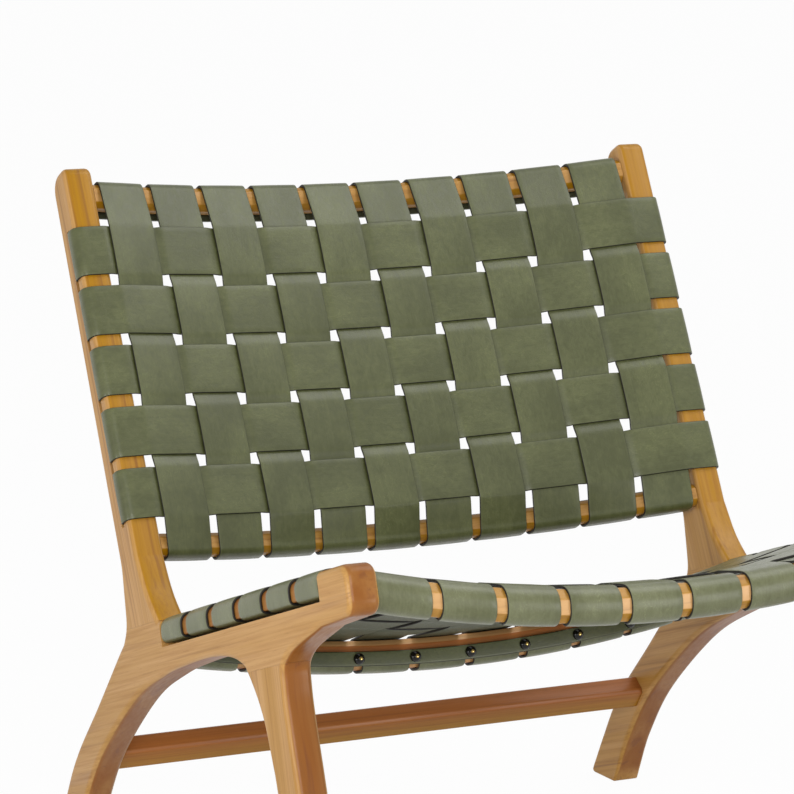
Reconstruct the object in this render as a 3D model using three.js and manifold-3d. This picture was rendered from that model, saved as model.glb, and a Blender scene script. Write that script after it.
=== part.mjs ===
import * as THREE from "three";
import Module from "manifold-3d";

// Lounge chair: two shaped timber side frames, four bowed rails, a stretcher,
// and a back and a seat woven from leather straps.
// Millimetres, +Z up. The sitter faces -Y and +X is to the right of the picture.

const wasm = await Module();
wasm.setup();

// Sizes shared by the whole chair
const clearance = 0.3;
const tenonPlay = 0.4;
const cutPast = 5;
const frameThickness = 29;
const sideGap = 2;
const frameRound = 6;
const roundSteps = 2;

// Leather
const strapThickness = 2.7;
const strapWidth = 50;
const strapPitch = 58;
const strapCount = 10;
const bow = 33.4;
const tailPastWood = 4;
const tailShort = 2;
const crossingEase = 1.2;

// Back panel: its centre on the side view, its recline from upright and its rows of cross straps
const backCentreY = 224;
const backCentreZ = 495.5;
const backRecline = 27;
const backRowPitch = 61;
const backRowCount = 5;
const backTopRailOuter = 194;
const backLowRailOuter = 182;
const backRailDrop = 8;
const backLowRailHeight = 22;
const backTopRailHeight = 25;
const backRailDepth = 20;

// Seat panel: its centre on the side view, its rise to the front and its rows of cross straps
const seatCentreY = -99.4;
const seatCentreZ = 339.7;
const seatRise = 17.7;
const seatRowPitch = 63;
const seatRowCount = 6;
const seatRowShift = 12;
const seatFrontRailOuter = 221.7;
const seatRearRailOuter = 239.8;
const seatFrontRailHeight = 29;
const seatRearRailHeight = 28;
const seatFrontRailDrop = 7;
const seatRearRailDrop = 4.5;
const seatRailDepth = 22;
const railRound = 6;

// Slots in the side frames that the cross straps turn into
const slotWidth = 6;
const slotEndRoom = 3;
const postBattenDepth = 14.5;
const railBattenDepth = 16;
const railBattenRise = 2.5;
const battenRound = 5;

// Side frame outline
const postFrontLength = 210;
const postTopDepth = 37;
const postLowDepth = 44;
const postTopRound = 9;
const postTopRearRound = 19;
const plankTop = 1.8;
const plankDepth = 67.9;
const hornEnd = 230.5;
const hornDepth = 44.2;
const hornRound = 13;
const rearFootY = 366;
const frontFootY = -292;
const rearFootLength = 49;
const frontFootLength = 38;

// Bends of the plank and the post foot, along the plank and under its top
const flareLead = 40;
const kneeReach = 42;
const kneeRise = 4.8;
const heelReach = 44.5;
const heelDrop = 0.8;
const bendReach = 56;
const bendDrop = 11;
const hornUnderReach = 70;
const hornUnderSag = 2;
const crotchReach = 144;
const crotchLift = 4.2;
const archTurnPlace = 5;
const archTurnDepth = 64.5;
const archFrontPlace = 17;
const archFrontDepth = 51.5;
const archTopPlace = 42;
const archTopDepth = 45.5;
const archMiddlePlace = 88;
const archMiddleDepth = 46.5;
const archRearPlace = 200;
const archRearDepth = 49.4;
const rearKneeReach = 74.3;
const rearKneeDrop = 20.9;
const thighReach = 147;
const thighLift = 5;

// Bends of the rear leg, forward of its heel and above the floor
const ankleRun = 30.5;
const ankleHeight = 61;
const calfRun = 61;
const calfHeight = 106;
const shinRun = 80;
const shinHeight = 57;
const rearUnderRun = 126;
const rearUnderHeight = 117;
const rearHighRun = 212;
const rearHighHeight = 192;

// Bends of the front leg, behind its toe and above the floor
const frontWaistHeight = 196;
const frontFaceRun = 68;
const frontNeckRun = 96.5;
const frontNeckHeight = 276;
const frontWaistRun = 120;
const frontHighRun = 145;
const frontHighHeight = 243;

// Joints inside the frame
const tenonLength = 16;
const tenonThickness = 12;
const frameTenonLength = 18;
const postTenonReach = 15;
const postTenonWidth = 20;
const legTenonWidth = 26;
const legTenonPlace = -40;
const legSplit = 90;

// Stretcher between the rear legs
const stretcherY = 273;
const stretcherZ = 107;
const stretcherTurn = 54;
const stretcherWidth = 26;
const stretcherDepth = 22.5;
const stretcherChamfer = 3;

// Cover strips and tacks
const stripWidth = 14;
const stripThickness = 2.4;
const stripLift = 9.5;
const stripEndInset = 8;
const tackRadius = 5.5;
const tackHeight = 3.4;
const tackShankRadius = 1.3;
const tackGrip = 9;

// Derived sizes
const halfSpan = (strapCount * strapPitch) / 2;
const innerX = halfSpan + sideGap;
const outerX = innerX + frameThickness;
const middleX = innerX + frameThickness / 2;
const lay = clearance + strapThickness / 2;
const weaveOffset = (strapThickness + clearance) / 2;
const recess = strapThickness + clearance;
const battenOuterX = outerX - recess;
const postSlotLength = (backRowCount - 1) * backRowPitch + strapWidth + 2 * slotEndRoom;
const plankSlotLength = (seatRowCount - 1) * seatRowPitch + strapWidth + 2 * slotEndRoom;
const farOut = 3 * outerX;

const wood = { color: 0xb9783a, roughness: 0.45, metalness: 0 };
const leather = { color: 0x5a6045, roughness: 0.55, metalness: 0 };
const tackMetal = { color: 0x1b1a18, roughness: 0.2, metalness: 1 };

const chair = new THREE.Group();
chair.name = "lounge_chair";

// A panel frame: X across, V along the panel, W out of it towards the sitter.
function panelFrame(centreY, centreZ, alongY, alongZ) {
  const across = new THREE.Vector3(1, 0, 0);
  const along = new THREE.Vector3(0, alongY, alongZ);
  const out = new THREE.Vector3(0, -alongZ, alongY);
  return new THREE.Matrix4().makeBasis(across, along, out).setPosition(0, centreY, centreZ);
}

const recline = THREE.MathUtils.degToRad(backRecline);
const rise = THREE.MathUtils.degToRad(seatRise);
const backFrame = panelFrame(backCentreY, backCentreZ, Math.sin(recline), Math.cos(recline));
const seatFrame = panelFrame(seatCentreY, seatCentreZ, Math.cos(rise), -Math.sin(rise));

// The side-view point (Y, Z) of a place on a panel frame.
function sidePoint(frame, along, out) {
  const place = new THREE.Vector3(0, along, out).applyMatrix4(frame);
  return new THREE.Vector2(place.y, place.z);
}

function toSolid(geometry) {
  const flat = geometry.index ? geometry.toNonIndexed() : geometry;
  const places = flat.getAttribute("position");
  const numbers = new Map();
  const vertices = [];
  const triangles = [];
  for (let i = 0; i < places.count; i += 1) {
    const corner = [places.getX(i), places.getY(i), places.getZ(i)];
    const key = corner.map((value) => Math.round(value * 2000)).join(",");
    if (!numbers.has(key)) {
      numbers.set(key, numbers.size);
      vertices.push(...corner);
    }
    triangles.push(numbers.get(key));
  }
  const kept = [];
  for (let i = 0; i < triangles.length; i += 3) {
    const [a, b, c] = triangles.slice(i, i + 3);
    if (a !== b && b !== c && a !== c) {
      kept.push(a, b, c);
    }
  }
  const mesh = new wasm.Mesh({
    numProp: 3,
    vertProperties: new Float32Array(vertices),
    triVerts: new Uint32Array(kept),
  });
  return new wasm.Manifold(mesh);
}

function addPiece(name, solid, finish) {
  const data = solid.getMesh();
  const geometry = new THREE.BufferGeometry();
  const places = new Float32Array(data.numVert * 3);
  for (let i = 0; i < data.numVert; i += 1) {
    places.set(data.vertProperties.subarray(i * data.numProp, i * data.numProp + 3), i * 3);
  }
  geometry.setAttribute("position", new THREE.BufferAttribute(places, 3));
  geometry.setIndex(new THREE.BufferAttribute(new Uint32Array(data.triVerts), 1));
  geometry.computeVertexNormals();
  const piece = new THREE.Mesh(geometry, new THREE.MeshStandardMaterial(finish));
  piece.name = name;
  chair.add(piece);
}

// A block in a frame, from its lowest corner to its highest.
function block(frame, low, high) {
  const size = [0, 1, 2].map((axis) => high[axis] - low[axis]);
  const centre = [0, 1, 2].map((axis) => (high[axis] + low[axis]) / 2);
  const geometry = new THREE.BoxGeometry(...size);
  geometry.translate(...centre);
  geometry.applyMatrix4(frame);
  return toSolid(geometry);
}

// A path moved sideways by a distance to its left, with mitred corners.
function offsetPath(path, distance) {
  return path.map((point, i) => {
    const before = path[Math.max(i - 1, 0)];
    const after = path[Math.min(i + 1, path.length - 1)];
    const arriving = i > 0 ? point.clone().sub(before) : after.clone().sub(point);
    const leaving = i < path.length - 1 ? after.clone().sub(point) : point.clone().sub(before);
    arriving.normalize();
    leaving.normalize();
    const leftOfLeaving = new THREE.Vector2(-leaving.y, leaving.x);
    const mitre = new THREE.Vector2(-arriving.y, arriving.x).add(leftOfLeaving).normalize();
    return point.clone().addScaledVector(mitre, distance / mitre.dot(leftOfLeaving));
  });
}

// The outline of a ribbon that lies between two sideways distances from a path.
function ribbon(path, low, high) {
  const there = offsetPath(path, low);
  const back = offsetPath(path, high).reverse();
  return new THREE.Shape([...there, ...back]);
}

// The outline between two copies of a path, each moved along the second axis.
function band(path, low, high) {
  const moved = (shift) => path.map((point) => new THREE.Vector2(point.x, point.y + shift));
  return new THREE.Shape([...moved(low), ...moved(high).reverse()]);
}

function arc(centreA, centreB, radius, fromDegrees, toDegrees, steps = roundSteps) {
  const points = [];
  for (let step = 0; step <= steps; step += 1) {
    const turn = fromDegrees + ((toDegrees - fromDegrees) * step) / steps;
    const angle = THREE.MathUtils.degToRad(turn);
    points.push(
      new THREE.Vector2(centreA + radius * Math.cos(angle), centreB + radius * Math.sin(angle)),
    );
  }
  return points;
}

// Extrude an outline drawn on the first two axes along the third, from a start to an end.
function extrude(outline, axes, start, end) {
  const geometry = new THREE.ExtrudeGeometry(outline, { depth: end - start, bevelEnabled: false });
  geometry.translate(0, 0, start);
  geometry.applyMatrix4(axes);
  return toSolid(geometry);
}

// Extrude with every edge of the outline rounded over inside the given depth.
function extrudeRounded(outline, axes, start, end, round) {
  const geometry = new THREE.ExtrudeGeometry(outline, {
    depth: end - start - 2 * round,
    bevelEnabled: true,
    bevelThickness: round,
    bevelSize: round,
    bevelOffset: -round,
    bevelSegments: roundSteps,
  });
  geometry.translate(0, 0, start + round);
  geometry.applyMatrix4(axes);
  return toSolid(geometry);
}

// Axes for outlines drawn across the chair (X, W), swept along V.
function acrossAxes(frame) {
  const turn = new THREE.Matrix4().makeBasis(
    new THREE.Vector3(1, 0, 0),
    new THREE.Vector3(0, 0, 1),
    new THREE.Vector3(0, -1, 0),
  );
  return frame.clone().multiply(turn);
}

// Axes for outlines drawn on the side view (Y, Z), swept along X.
const sideAxes = new THREE.Matrix4().makeBasis(
  new THREE.Vector3(0, 1, 0),
  new THREE.Vector3(0, 0, 1),
  new THREE.Vector3(1, 0, 0),
);

// The bow of rails and straps: a parabola broken into one flat facet for each long strap.
function bowDrop(x) {
  const share = x / halfSpan;
  return -bow * (1 - share * share);
}

const bowKnots = [];
for (let k = 0; k <= strapCount; k += 1) {
  const x = k * strapPitch - halfSpan;
  bowKnots.push(new THREE.Vector2(x, bowDrop(x)));
}

function facet(index) {
  const left = bowKnots[index];
  const right = bowKnots[index + 1];
  const direction = right.clone().sub(left).normalize();
  const centre = left.clone().add(right).multiplyScalar(0.5);
  return { centre, direction };
}

// The bow path, its first and last facets stretched or cut to a half length.
function bowPath(halfLength) {
  const inside = bowKnots.slice(1, -1);
  const ends = [0, strapCount - 1].map((index) => {
    const { centre, direction } = facet(index);
    const reach = (Math.sign(centre.x) * halfLength - centre.x) / direction.x;
    return centre.clone().addScaledVector(direction, reach);
  });
  return [ends[0], ...inside, ends[1]];
}

function rowPlaces(count, pitch) {
  return Array.from({ length: count }, (unused, row) => (row - (count - 1) / 2) * pitch);
}

// Plain weave: a long strap passes over a cross strap where column and row are both even or both odd.
function longStrapSide(column, row) {
  return (column + row) % 2 === 0 ? 1 : -1;
}

// The path of a long strap round a rail, from the weave outwards, as (outward, W) pairs.
function railWrap(rail) {
  const { outer, height, depth, drop, wrapsInside } = rail;
  const inner = outer - depth;
  const top = -lay - drop - railRound;
  const bottom = -lay - drop - height + railRound;
  const reach = railRound + lay;
  const points = [
    new THREE.Vector2(inner, -drop),
    ...arc(outer - railRound, top, reach, 90, 0),
    ...arc(outer - railRound, bottom, reach, 0, -90),
  ];
  if (wrapsInside) {
    points.push(...arc(inner + railRound, bottom, reach, -90, -180));
    points.push(new THREE.Vector2(inner - lay, -lay - drop - height + stripLift - tailShort));
  } else {
    points.push(new THREE.Vector2(inner - tailPastWood, -lay - drop - height - lay));
  }
  return points;
}

// One long strap: round the first rail, over and under the cross straps, round the last rail.
function longStrap(panel, column) {
  const path = railWrap(panel.rails[0]).map((point) => new THREE.Vector2(-point.x, point.y));
  path.reverse();
  panel.rows.forEach((place, row) => {
    const level = longStrapSide(column, row) * weaveOffset;
    path.push(new THREE.Vector2(place - strapWidth / 2 - crossingEase, level));
    path.push(new THREE.Vector2(place + strapWidth / 2 + crossingEase, level));
  });
  path.push(...railWrap(panel.rails[1]));
  const outline = ribbon(path, -strapThickness / 2, strapThickness / 2);
  const { centre, direction } = facet(column);
  const place = new THREE.Matrix4().makeBasis(
    new THREE.Vector3(0, 1, 0),
    new THREE.Vector3(0, 0, 1),
    new THREE.Vector3(direction.x, 0, direction.y),
  );
  place.setPosition(centre.x, 0, centre.y);
  const axes = panel.frame.clone().multiply(place);
  return extrude(outline, axes, -strapWidth / 2, strapWidth / 2);
}

// The end of a cross strap: over the batten, down its side, through the slot and past the inner face.
function battenWrap(batten) {
  const { side, depth, round, rise } = batten;
  const under = -lay - depth;
  const turn = clearance * 2;
  return [
    new THREE.Vector2(innerX - sideGap, rise),
    ...arc(side - round, rise - lay - round, round + lay, 90, 0),
    new THREE.Vector2(side + lay, under - turn),
    new THREE.Vector2(side + turn, under - lay),
    new THREE.Vector2(innerX - tailPastWood, under - lay),
  ];
}

// One cross strap: through a slot, over and under the long straps, through the other slot.
function crossStrap(panel, row) {
  const path = battenWrap(panel.batten).map((point) => new THREE.Vector2(-point.x, point.y));
  path.reverse();
  for (let column = 0; column < strapCount; column += 1) {
    const { centre, direction } = facet(column);
    const level = -longStrapSide(column, row) * weaveOffset;
    const middle = new THREE.Vector2(centre.x, centre.y + level);
    path.push(middle.clone().addScaledVector(direction, -strapWidth / 2 - crossingEase));
    path.push(middle.clone().addScaledVector(direction, strapWidth / 2 + crossingEase));
  }
  path.push(...battenWrap(panel.batten));
  const outline = ribbon(path, -strapThickness / 2, strapThickness / 2);
  const place = panel.rows[row];
  return extrude(outline, acrossAxes(panel.frame), -place - strapWidth / 2, -place + strapWidth / 2);
}

// A rail: which end of its panel it closes, its outer edge, its depth along the panel,
// its height across the panel and how far its top lies under the weave.
function railSizes(sign, outer, depth, height, drop, wrapsInside) {
  return { sign, outer, depth, height, drop, wrapsInside };
}

const backPanel = {
  frame: backFrame,
  rows: rowPlaces(backRowCount, backRowPitch),
  batten: { side: outerX, depth: postBattenDepth, round: frameRound, rise: 0 },
  rails: [
    railSizes(-1, backLowRailOuter, backLowRailHeight, backRailDepth, backRailDrop, false),
    railSizes(1, backTopRailOuter, backTopRailHeight, backRailDepth, backRailDrop, false),
  ],
};

const seatPanel = {
  frame: seatFrame,
  rows: rowPlaces(seatRowCount, seatRowPitch).map((place) => place + seatRowShift),
  batten: { side: battenOuterX, depth: railBattenDepth, round: battenRound, rise: railBattenRise },
  rails: [
    railSizes(-1, seatFrontRailOuter, seatRailDepth, seatFrontRailHeight, seatFrontRailDrop, true),
    railSizes(1, seatRearRailOuter, seatRailDepth, seatRearRailHeight, seatRearRailDrop, true),
  ],
};

// A tenon or its mortise at the end of a rail, in the panel frame of the rail.
function railTenon(panel, rail, side, play) {
  const along = rail.sign * (rail.outer - rail.depth / 2);
  const halfAlong = rail.depth / 2 - railRound + play;
  const out = -lay - rail.drop - rail.height / 2;
  const halfOut = rail.height / 2 - railRound + play;
  const near = innerX - 2 * tenonLength;
  const far = innerX + tenonLength + play;
  const ends = side < 0 ? [-far, -near] : [near, far];
  return block(
    panel.frame,
    [ends[0], along - halfAlong, out - halfOut],
    [ends[1], along + halfAlong, out + halfOut],
  );
}

// A bowed rail: a rounded bar cut flush with the side frames, with a tenon at each end.
function bowedRail(panel, rail) {
  const path = bowPath(innerX + frameThickness);
  const outline = band(path, -lay - rail.drop - rail.height, -lay - rail.drop);
  const near = rail.outer - rail.depth;
  const span = rail.sign < 0 ? [near, rail.outer] : [-rail.outer, -near];
  const bar = extrudeRounded(outline, acrossAxes(panel.frame), span[0], span[1], railRound);
  const reach = innerX - clearance;
  const between = block(panel.frame, [-reach, -farOut, -farOut], [reach, farOut, farOut]);
  return [-1, 1].reduce(
    (solid, side) => solid.add(railTenon(panel, rail, side, 0)),
    bar.intersect(between),
  );
}

// A cover strip over the strap tails, on the back of a back rail or the inside of a seat rail.
function coverStrip(panel, rail) {
  const path = bowPath(halfSpan - stripEndInset);
  const stack = clearance + strapThickness + clearance;
  if (rail.wrapsInside) {
    const middle = -lay - rail.drop - rail.height + stripLift;
    const outline = band(path, middle - stripWidth / 2, middle + stripWidth / 2);
    const face = rail.outer - rail.depth - stack;
    const span = [face - stripThickness, face];
    const ends = rail.sign < 0 ? span : [-span[1], -span[0]];
    return extrude(outline, acrossAxes(panel.frame), ends[0], ends[1]);
  }
  const high = -lay - rail.drop - rail.height - stack;
  const outline = band(path, high - stripThickness, high);
  const middle = -rail.sign * (rail.outer - rail.depth / 2);
  return extrude(
    outline,
    acrossAxes(panel.frame),
    middle - stripWidth / 2,
    middle + stripWidth / 2,
  );
}

// Tacks through the cover strip of the rear seat rail, one in each gap between two straps.
const rearRail = seatPanel.rails[1];
const tackSeat = rearRail.outer - rearRail.depth - 2 * clearance - strapThickness - stripThickness;
const shankLength = stripThickness + strapThickness + 3 * clearance + tackGrip;

function tackPlace(gap) {
  const knot = bowKnots[gap];
  const lift = knot.y - lay - rearRail.drop - rearRail.height + stripLift;
  const turn = new THREE.Matrix4().makeRotationX(Math.PI);
  turn.setPosition(knot.x, tackSeat - clearance, lift);
  return seatFrame.clone().multiply(turn);
}

function tackSolid(gap) {
  const profile = [
    new THREE.Vector2(0, -shankLength),
    new THREE.Vector2(tackShankRadius, -shankLength + tackShankRadius),
    new THREE.Vector2(tackShankRadius, 0),
    new THREE.Vector2(tackRadius, 0),
    new THREE.Vector2(tackRadius * 0.72, tackHeight * 0.75),
    new THREE.Vector2(0, tackHeight),
  ];
  const geometry = new THREE.LatheGeometry(profile, 10);
  geometry.applyMatrix4(tackPlace(gap));
  return toSolid(geometry);
}

function tackHole(gap) {
  const length = shankLength + 2 * clearance;
  const radius = tackShankRadius + clearance;
  const geometry = new THREE.CylinderGeometry(radius, radius, length, 8);
  geometry.translate(0, -length / 2 + clearance, 0);
  geometry.applyMatrix4(tackPlace(gap));
  return toSolid(geometry);
}

// Side frame: one flowing outline on the side view.
function sideOutline() {
  const postFront = -lay;
  const rearTurn = postFront - postTopDepth + postTopRearRound;
  const topRear = arc(postFrontLength - postTopRearRound, rearTurn, postTopRearRound, -90, 0, 4);
  const topFront = arc(postFrontLength - postTopRound, postFront - postTopRound, postTopRound, 0, 90, 2);
  const lowRear = sidePoint(backFrame, -backLowRailOuter, postFront - postLowDepth);
  const lowFront = sidePoint(backFrame, -backLowRailOuter, postFront);
  const flareTip = sidePoint(seatFrame, seatRearRailOuter - flareLead, plankTop);
  const kneeHigh = sidePoint(seatFrame, seatRearRailOuter + kneeReach, plankTop + kneeRise);
  const kneeLow = sidePoint(seatFrame, seatRearRailOuter + heelReach, plankTop - heelDrop);
  const rearKnee = sidePoint(seatFrame, seatRearRailOuter + rearKneeReach, plankTop - rearKneeDrop);
  const kneeBend = sidePoint(seatFrame, seatRearRailOuter + bendReach, plankTop - bendDrop);
  const hornHigh = arc(hornRound - hornEnd, plankTop - hornRound, hornRound, 90, 180, 3);
  const hornLow = arc(hornRound - hornEnd, plankTop - hornDepth + hornRound, hornRound, 180, 270, 3);
  const hornLowest = plankTop - hornDepth - hornUnderSag;
  const hornUnder = sidePoint(seatFrame, hornUnderReach - hornEnd, hornLowest);
  const crotch = sidePoint(seatFrame, crotchReach - hornEnd, plankTop - plankDepth + crotchLift);
  const archTurn = sidePoint(seatFrame, archTurnPlace, plankTop - archTurnDepth);
  const archFront = sidePoint(seatFrame, archFrontPlace, plankTop - archFrontDepth);
  const archTop = sidePoint(seatFrame, archTopPlace, plankTop - archTopDepth);
  const archMiddle = sidePoint(seatFrame, archMiddlePlace, plankTop - archMiddleDepth);
  const archRear = sidePoint(seatFrame, archRearPlace, plankTop - archRearDepth);
  const thighLow = plankTop - plankDepth + thighLift;
  const legJointRear = sidePoint(seatFrame, seatRearRailOuter + thighReach, thighLow);
  const along = (a, b, share) => a.clone().lerp(b, share);
  const spline = (points, steps) => new THREE.SplineCurve(points).getPoints(steps);

  const rearFoot = new THREE.Vector2(rearFootY, 0);
  const rearFootFront = new THREE.Vector2(rearFootY - rearFootLength, 0);
  const frontFoot = new THREE.Vector2(frontFootY, 0);
  const frontFootRear = new THREE.Vector2(frontFootY + frontFootLength, 0);
  const rearLegLow = new THREE.Vector2(rearFootY - ankleRun, ankleHeight);
  const rearLegBack = new THREE.Vector2(rearFootY - calfRun, calfHeight);
  const rearLegShin = new THREE.Vector2(rearFootY - shinRun, shinHeight);
  const rearLegUnder = new THREE.Vector2(rearFootY - rearUnderRun, rearUnderHeight);
  const rearLegHigh = new THREE.Vector2(rearFootY - rearHighRun, rearHighHeight);
  const frontLegFace = new THREE.Vector2(frontFootY + frontFaceRun, frontWaistHeight);
  const frontLegBack = new THREE.Vector2(frontFootY + frontWaistRun, frontWaistHeight);
  const frontLegHigh = new THREE.Vector2(frontFootY + frontHighRun, frontHighHeight);
  const frontLegNeck = new THREE.Vector2(frontFootY + frontNeckRun, frontNeckHeight);

  return new THREE.Shape([
    ...spline([rearFoot, rearLegLow, rearLegBack, legJointRear, rearKnee, kneeBend], 14),
    ...spline([kneeLow, kneeHigh, lowRear], 5),
    ...[...topRear, ...topFront].map((point) => sidePoint(backFrame, point.x, point.y)),
    ...spline([lowFront, along(lowFront, flareTip, 0.6).lerp(lowRear, 0.1), flareTip], 5),
    ...[...hornHigh, ...hornLow].map((point) => sidePoint(seatFrame, point.x, point.y)),
    ...spline([hornUnder, crotch, frontLegNeck, frontLegFace], 12),
    frontFoot,
    frontFootRear,
    ...spline([frontLegBack, frontLegHigh, archTurn, archFront, archTop, archMiddle], 15),
    ...spline([archRear, rearLegHigh, rearLegUnder, rearLegShin, rearFootFront], 12),
  ]);
}

// A half space of the side view, above or below a line along the seat plank.
function plankBand(lowOut, highOut, lowAlong, highAlong) {
  return block(seatFrame, [-farOut, lowAlong, lowOut], [farOut, highAlong, highOut]);
}

// A tenon standing on a plank joint, or its mortise.
function frameTenon(side, along, width, lowOut, highOut, play) {
  const half = tenonThickness / 2 + play;
  const x = side * middleX;
  return block(
    seatFrame,
    [x - half, along - width / 2 - play, lowOut],
    [x + half, along + width / 2 + play, highOut],
  );
}

function postSlot(side) {
  const span = side < 0 ? [-outerX - cutPast, cutPast - innerX] : [innerX - cutPast, outerX + cutPast];
  const front = -lay - postBattenDepth;
  return block(
    backFrame,
    [span[0], -postSlotLength / 2, front - slotWidth],
    [span[1], postSlotLength / 2, front],
  );
}

// The strap channel of a seat plank: a sunk top, a sunk outer side and the slot under the batten.
function plankChannel(side) {
  const under = -lay - railBattenDepth;
  const points = [
    new THREE.Vector2(innerX - cutPast, railBattenRise - lay),
    ...arc(battenOuterX - battenRound, railBattenRise - lay - battenRound, battenRound, 90, 0),
    new THREE.Vector2(battenOuterX, under),
    new THREE.Vector2(innerX - cutPast, under),
    new THREE.Vector2(innerX - cutPast, under - slotWidth),
    new THREE.Vector2(outerX + cutPast, under - slotWidth),
    new THREE.Vector2(outerX + cutPast, plankTop + cutPast),
    new THREE.Vector2(innerX - cutPast, plankTop + cutPast),
  ].map((point) => new THREE.Vector2(side * point.x, point.y));
  const ends = [-1, 1].map((end) => (end * plankSlotLength) / 2 - seatRowShift);
  return extrude(new THREE.Shape(points), acrossAxes(seatFrame), ends[0], ends[1]);
}

const stretcherFrame = new THREE.Matrix4()
  .makeRotationX(THREE.MathUtils.degToRad(-stretcherTurn))
  .setPosition(0, stretcherY, stretcherZ);

function stretcherTenon(side, play) {
  const half = tenonThickness / 2 + play;
  const near = innerX - 2 * tenonLength;
  const far = innerX + tenonLength + play;
  const ends = side < 0 ? [-far, -near] : [near, far];
  return block(stretcherFrame, [ends[0], -half, -half], [ends[1], half, half]);
}

function stretcherSolid() {
  const wide = stretcherWidth / 2;
  const deep = stretcherDepth / 2;
  const cut = stretcherChamfer;
  const outline = new THREE.Shape([
    new THREE.Vector2(-wide + cut, -deep),
    new THREE.Vector2(wide - cut, -deep),
    new THREE.Vector2(wide, -deep + cut),
    new THREE.Vector2(wide, deep - cut),
    new THREE.Vector2(wide - cut, deep),
    new THREE.Vector2(-wide + cut, deep),
    new THREE.Vector2(-wide, deep - cut),
    new THREE.Vector2(-wide, -deep + cut),
  ]);
  const reach = innerX - clearance;
  const bar = extrude(outline, stretcherFrame.clone().multiply(sideAxes), -reach, reach);
  return bar.add(stretcherTenon(-1, 0)).add(stretcherTenon(1, 0));
}

// Where the two joints of a side frame sit along its plank.
const postJoint = { along: seatRearRailOuter + postTenonReach, width: postTenonWidth };
const legJoint = { along: legTenonPlace, width: legTenonWidth };
const plankUnder = plankTop - plankDepth;

// A side frame: a plank that bends down into the rear leg, and the back post and front leg tenoned to it.
function buildSide(side, label) {
  const start = side < 0 ? -outerX : innerX;
  const whole = extrudeRounded(sideOutline(), sideAxes, start, start + frameThickness, frameRound);
  const split = clearance / 2;

  let post = whole.intersect(plankBand(plankTop + split, farOut, -farOut, farOut));
  post = post.subtract(postSlot(side));
  for (const rail of backPanel.rails) {
    post = post.subtract(railTenon(backPanel, rail, side, tenonPlay));
  }
  const postRoot = [plankTop - frameTenonLength, plankTop + frameTenonLength / 2];
  post = post.add(frameTenon(side, postJoint.along, postJoint.width, ...postRoot, 0));

  let leg = whole.intersect(plankBand(-farOut, plankUnder - split, -farOut, legSplit));
  const legRoot = [plankUnder - frameTenonLength / 2, plankUnder + frameTenonLength];
  leg = leg.add(frameTenon(side, legJoint.along, legJoint.width, ...legRoot, 0));

  let plank = whole.intersect(plankBand(-farOut, plankTop - split, -farOut, farOut));
  plank = plank.subtract(plankBand(-farOut, plankUnder + split, -farOut, legSplit));
  plank = plank.subtract(plankChannel(side));
  for (const rail of seatPanel.rails) {
    plank = plank.subtract(railTenon(seatPanel, rail, side, tenonPlay));
  }
  const postMortise = [plankTop - frameTenonLength - tenonPlay, plankTop + cutPast];
  plank = plank.subtract(frameTenon(side, postJoint.along, postJoint.width, ...postMortise, tenonPlay));
  const legMortise = [plankUnder - cutPast, plankUnder + frameTenonLength + tenonPlay];
  plank = plank.subtract(frameTenon(side, legJoint.along, legJoint.width, ...legMortise, tenonPlay));
  plank = plank.subtract(stretcherTenon(side, tenonPlay));

  addPiece(`${label}_side_plank`, plank, wood);
  addPiece(`${label}_back_post`, post, wood);
  addPiece(`${label}_front_leg`, leg, wood);
}

function numbered(name, index, digits) {
  return `${name}_${String(index + 1).padStart(digits, "0")}`;
}

buildSide(-1, "left");
buildSide(1, "right");

addPiece("back_lower_rail", bowedRail(backPanel, backPanel.rails[0]), wood);
addPiece("back_top_rail", bowedRail(backPanel, backPanel.rails[1]), wood);
addPiece("seat_front_rail", bowedRail(seatPanel, seatPanel.rails[0]), wood);
let seatRearRail = bowedRail(seatPanel, rearRail);
let seatRearStrip = coverStrip(seatPanel, rearRail);
for (let gap = 1; gap < strapCount; gap += 1) {
  const hole = tackHole(gap);
  seatRearRail = seatRearRail.subtract(hole);
  seatRearStrip = seatRearStrip.subtract(hole);
  addPiece(numbered("seat_rear_tack", gap - 1, 1), tackSolid(gap), tackMetal);
}
addPiece("seat_rear_rail", seatRearRail, wood);
addPiece("rear_stretcher", stretcherSolid(), wood);

for (let column = 0; column < strapCount; column += 1) {
  addPiece(numbered("back_long_strap", column, 2), longStrap(backPanel, column), leather);
  addPiece(numbered("seat_long_strap", column, 2), longStrap(seatPanel, column), leather);
}
for (let row = 0; row < backRowCount; row += 1) {
  addPiece(numbered("back_cross_strap", row, 1), crossStrap(backPanel, row), leather);
}
for (let row = 0; row < seatRowCount; row += 1) {
  addPiece(numbered("seat_cross_strap", row, 1), crossStrap(seatPanel, row), leather);
}

addPiece("back_lower_cover_strip", coverStrip(backPanel, backPanel.rails[0]), leather);
addPiece("back_top_cover_strip", coverStrip(backPanel, backPanel.rails[1]), leather);
addPiece("seat_front_cover_strip", coverStrip(seatPanel, seatPanel.rails[0]), leather);
addPiece("seat_rear_cover_strip", seatRearStrip, leather);

// Stand the chair on the floor with its bounding box centred.
const box = new THREE.Box3().setFromObject(chair);
const centre = box.getCenter(new THREE.Vector3());
for (const piece of chair.children) {
  piece.geometry.translate(-centre.x, -centre.y, -box.min.z);
}

export default chair;
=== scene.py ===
"""Lounge chair of golden timber with a seat and a back woven from olive leather straps.

Lengths are metres. X runs across the chair, -Y is the way the sitter faces, Z is up.
A panel (the back or the seat) has its own axes: X across, V along the panel, W out of it to the sitter.
"""

import math
from collections import namedtuple

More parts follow.
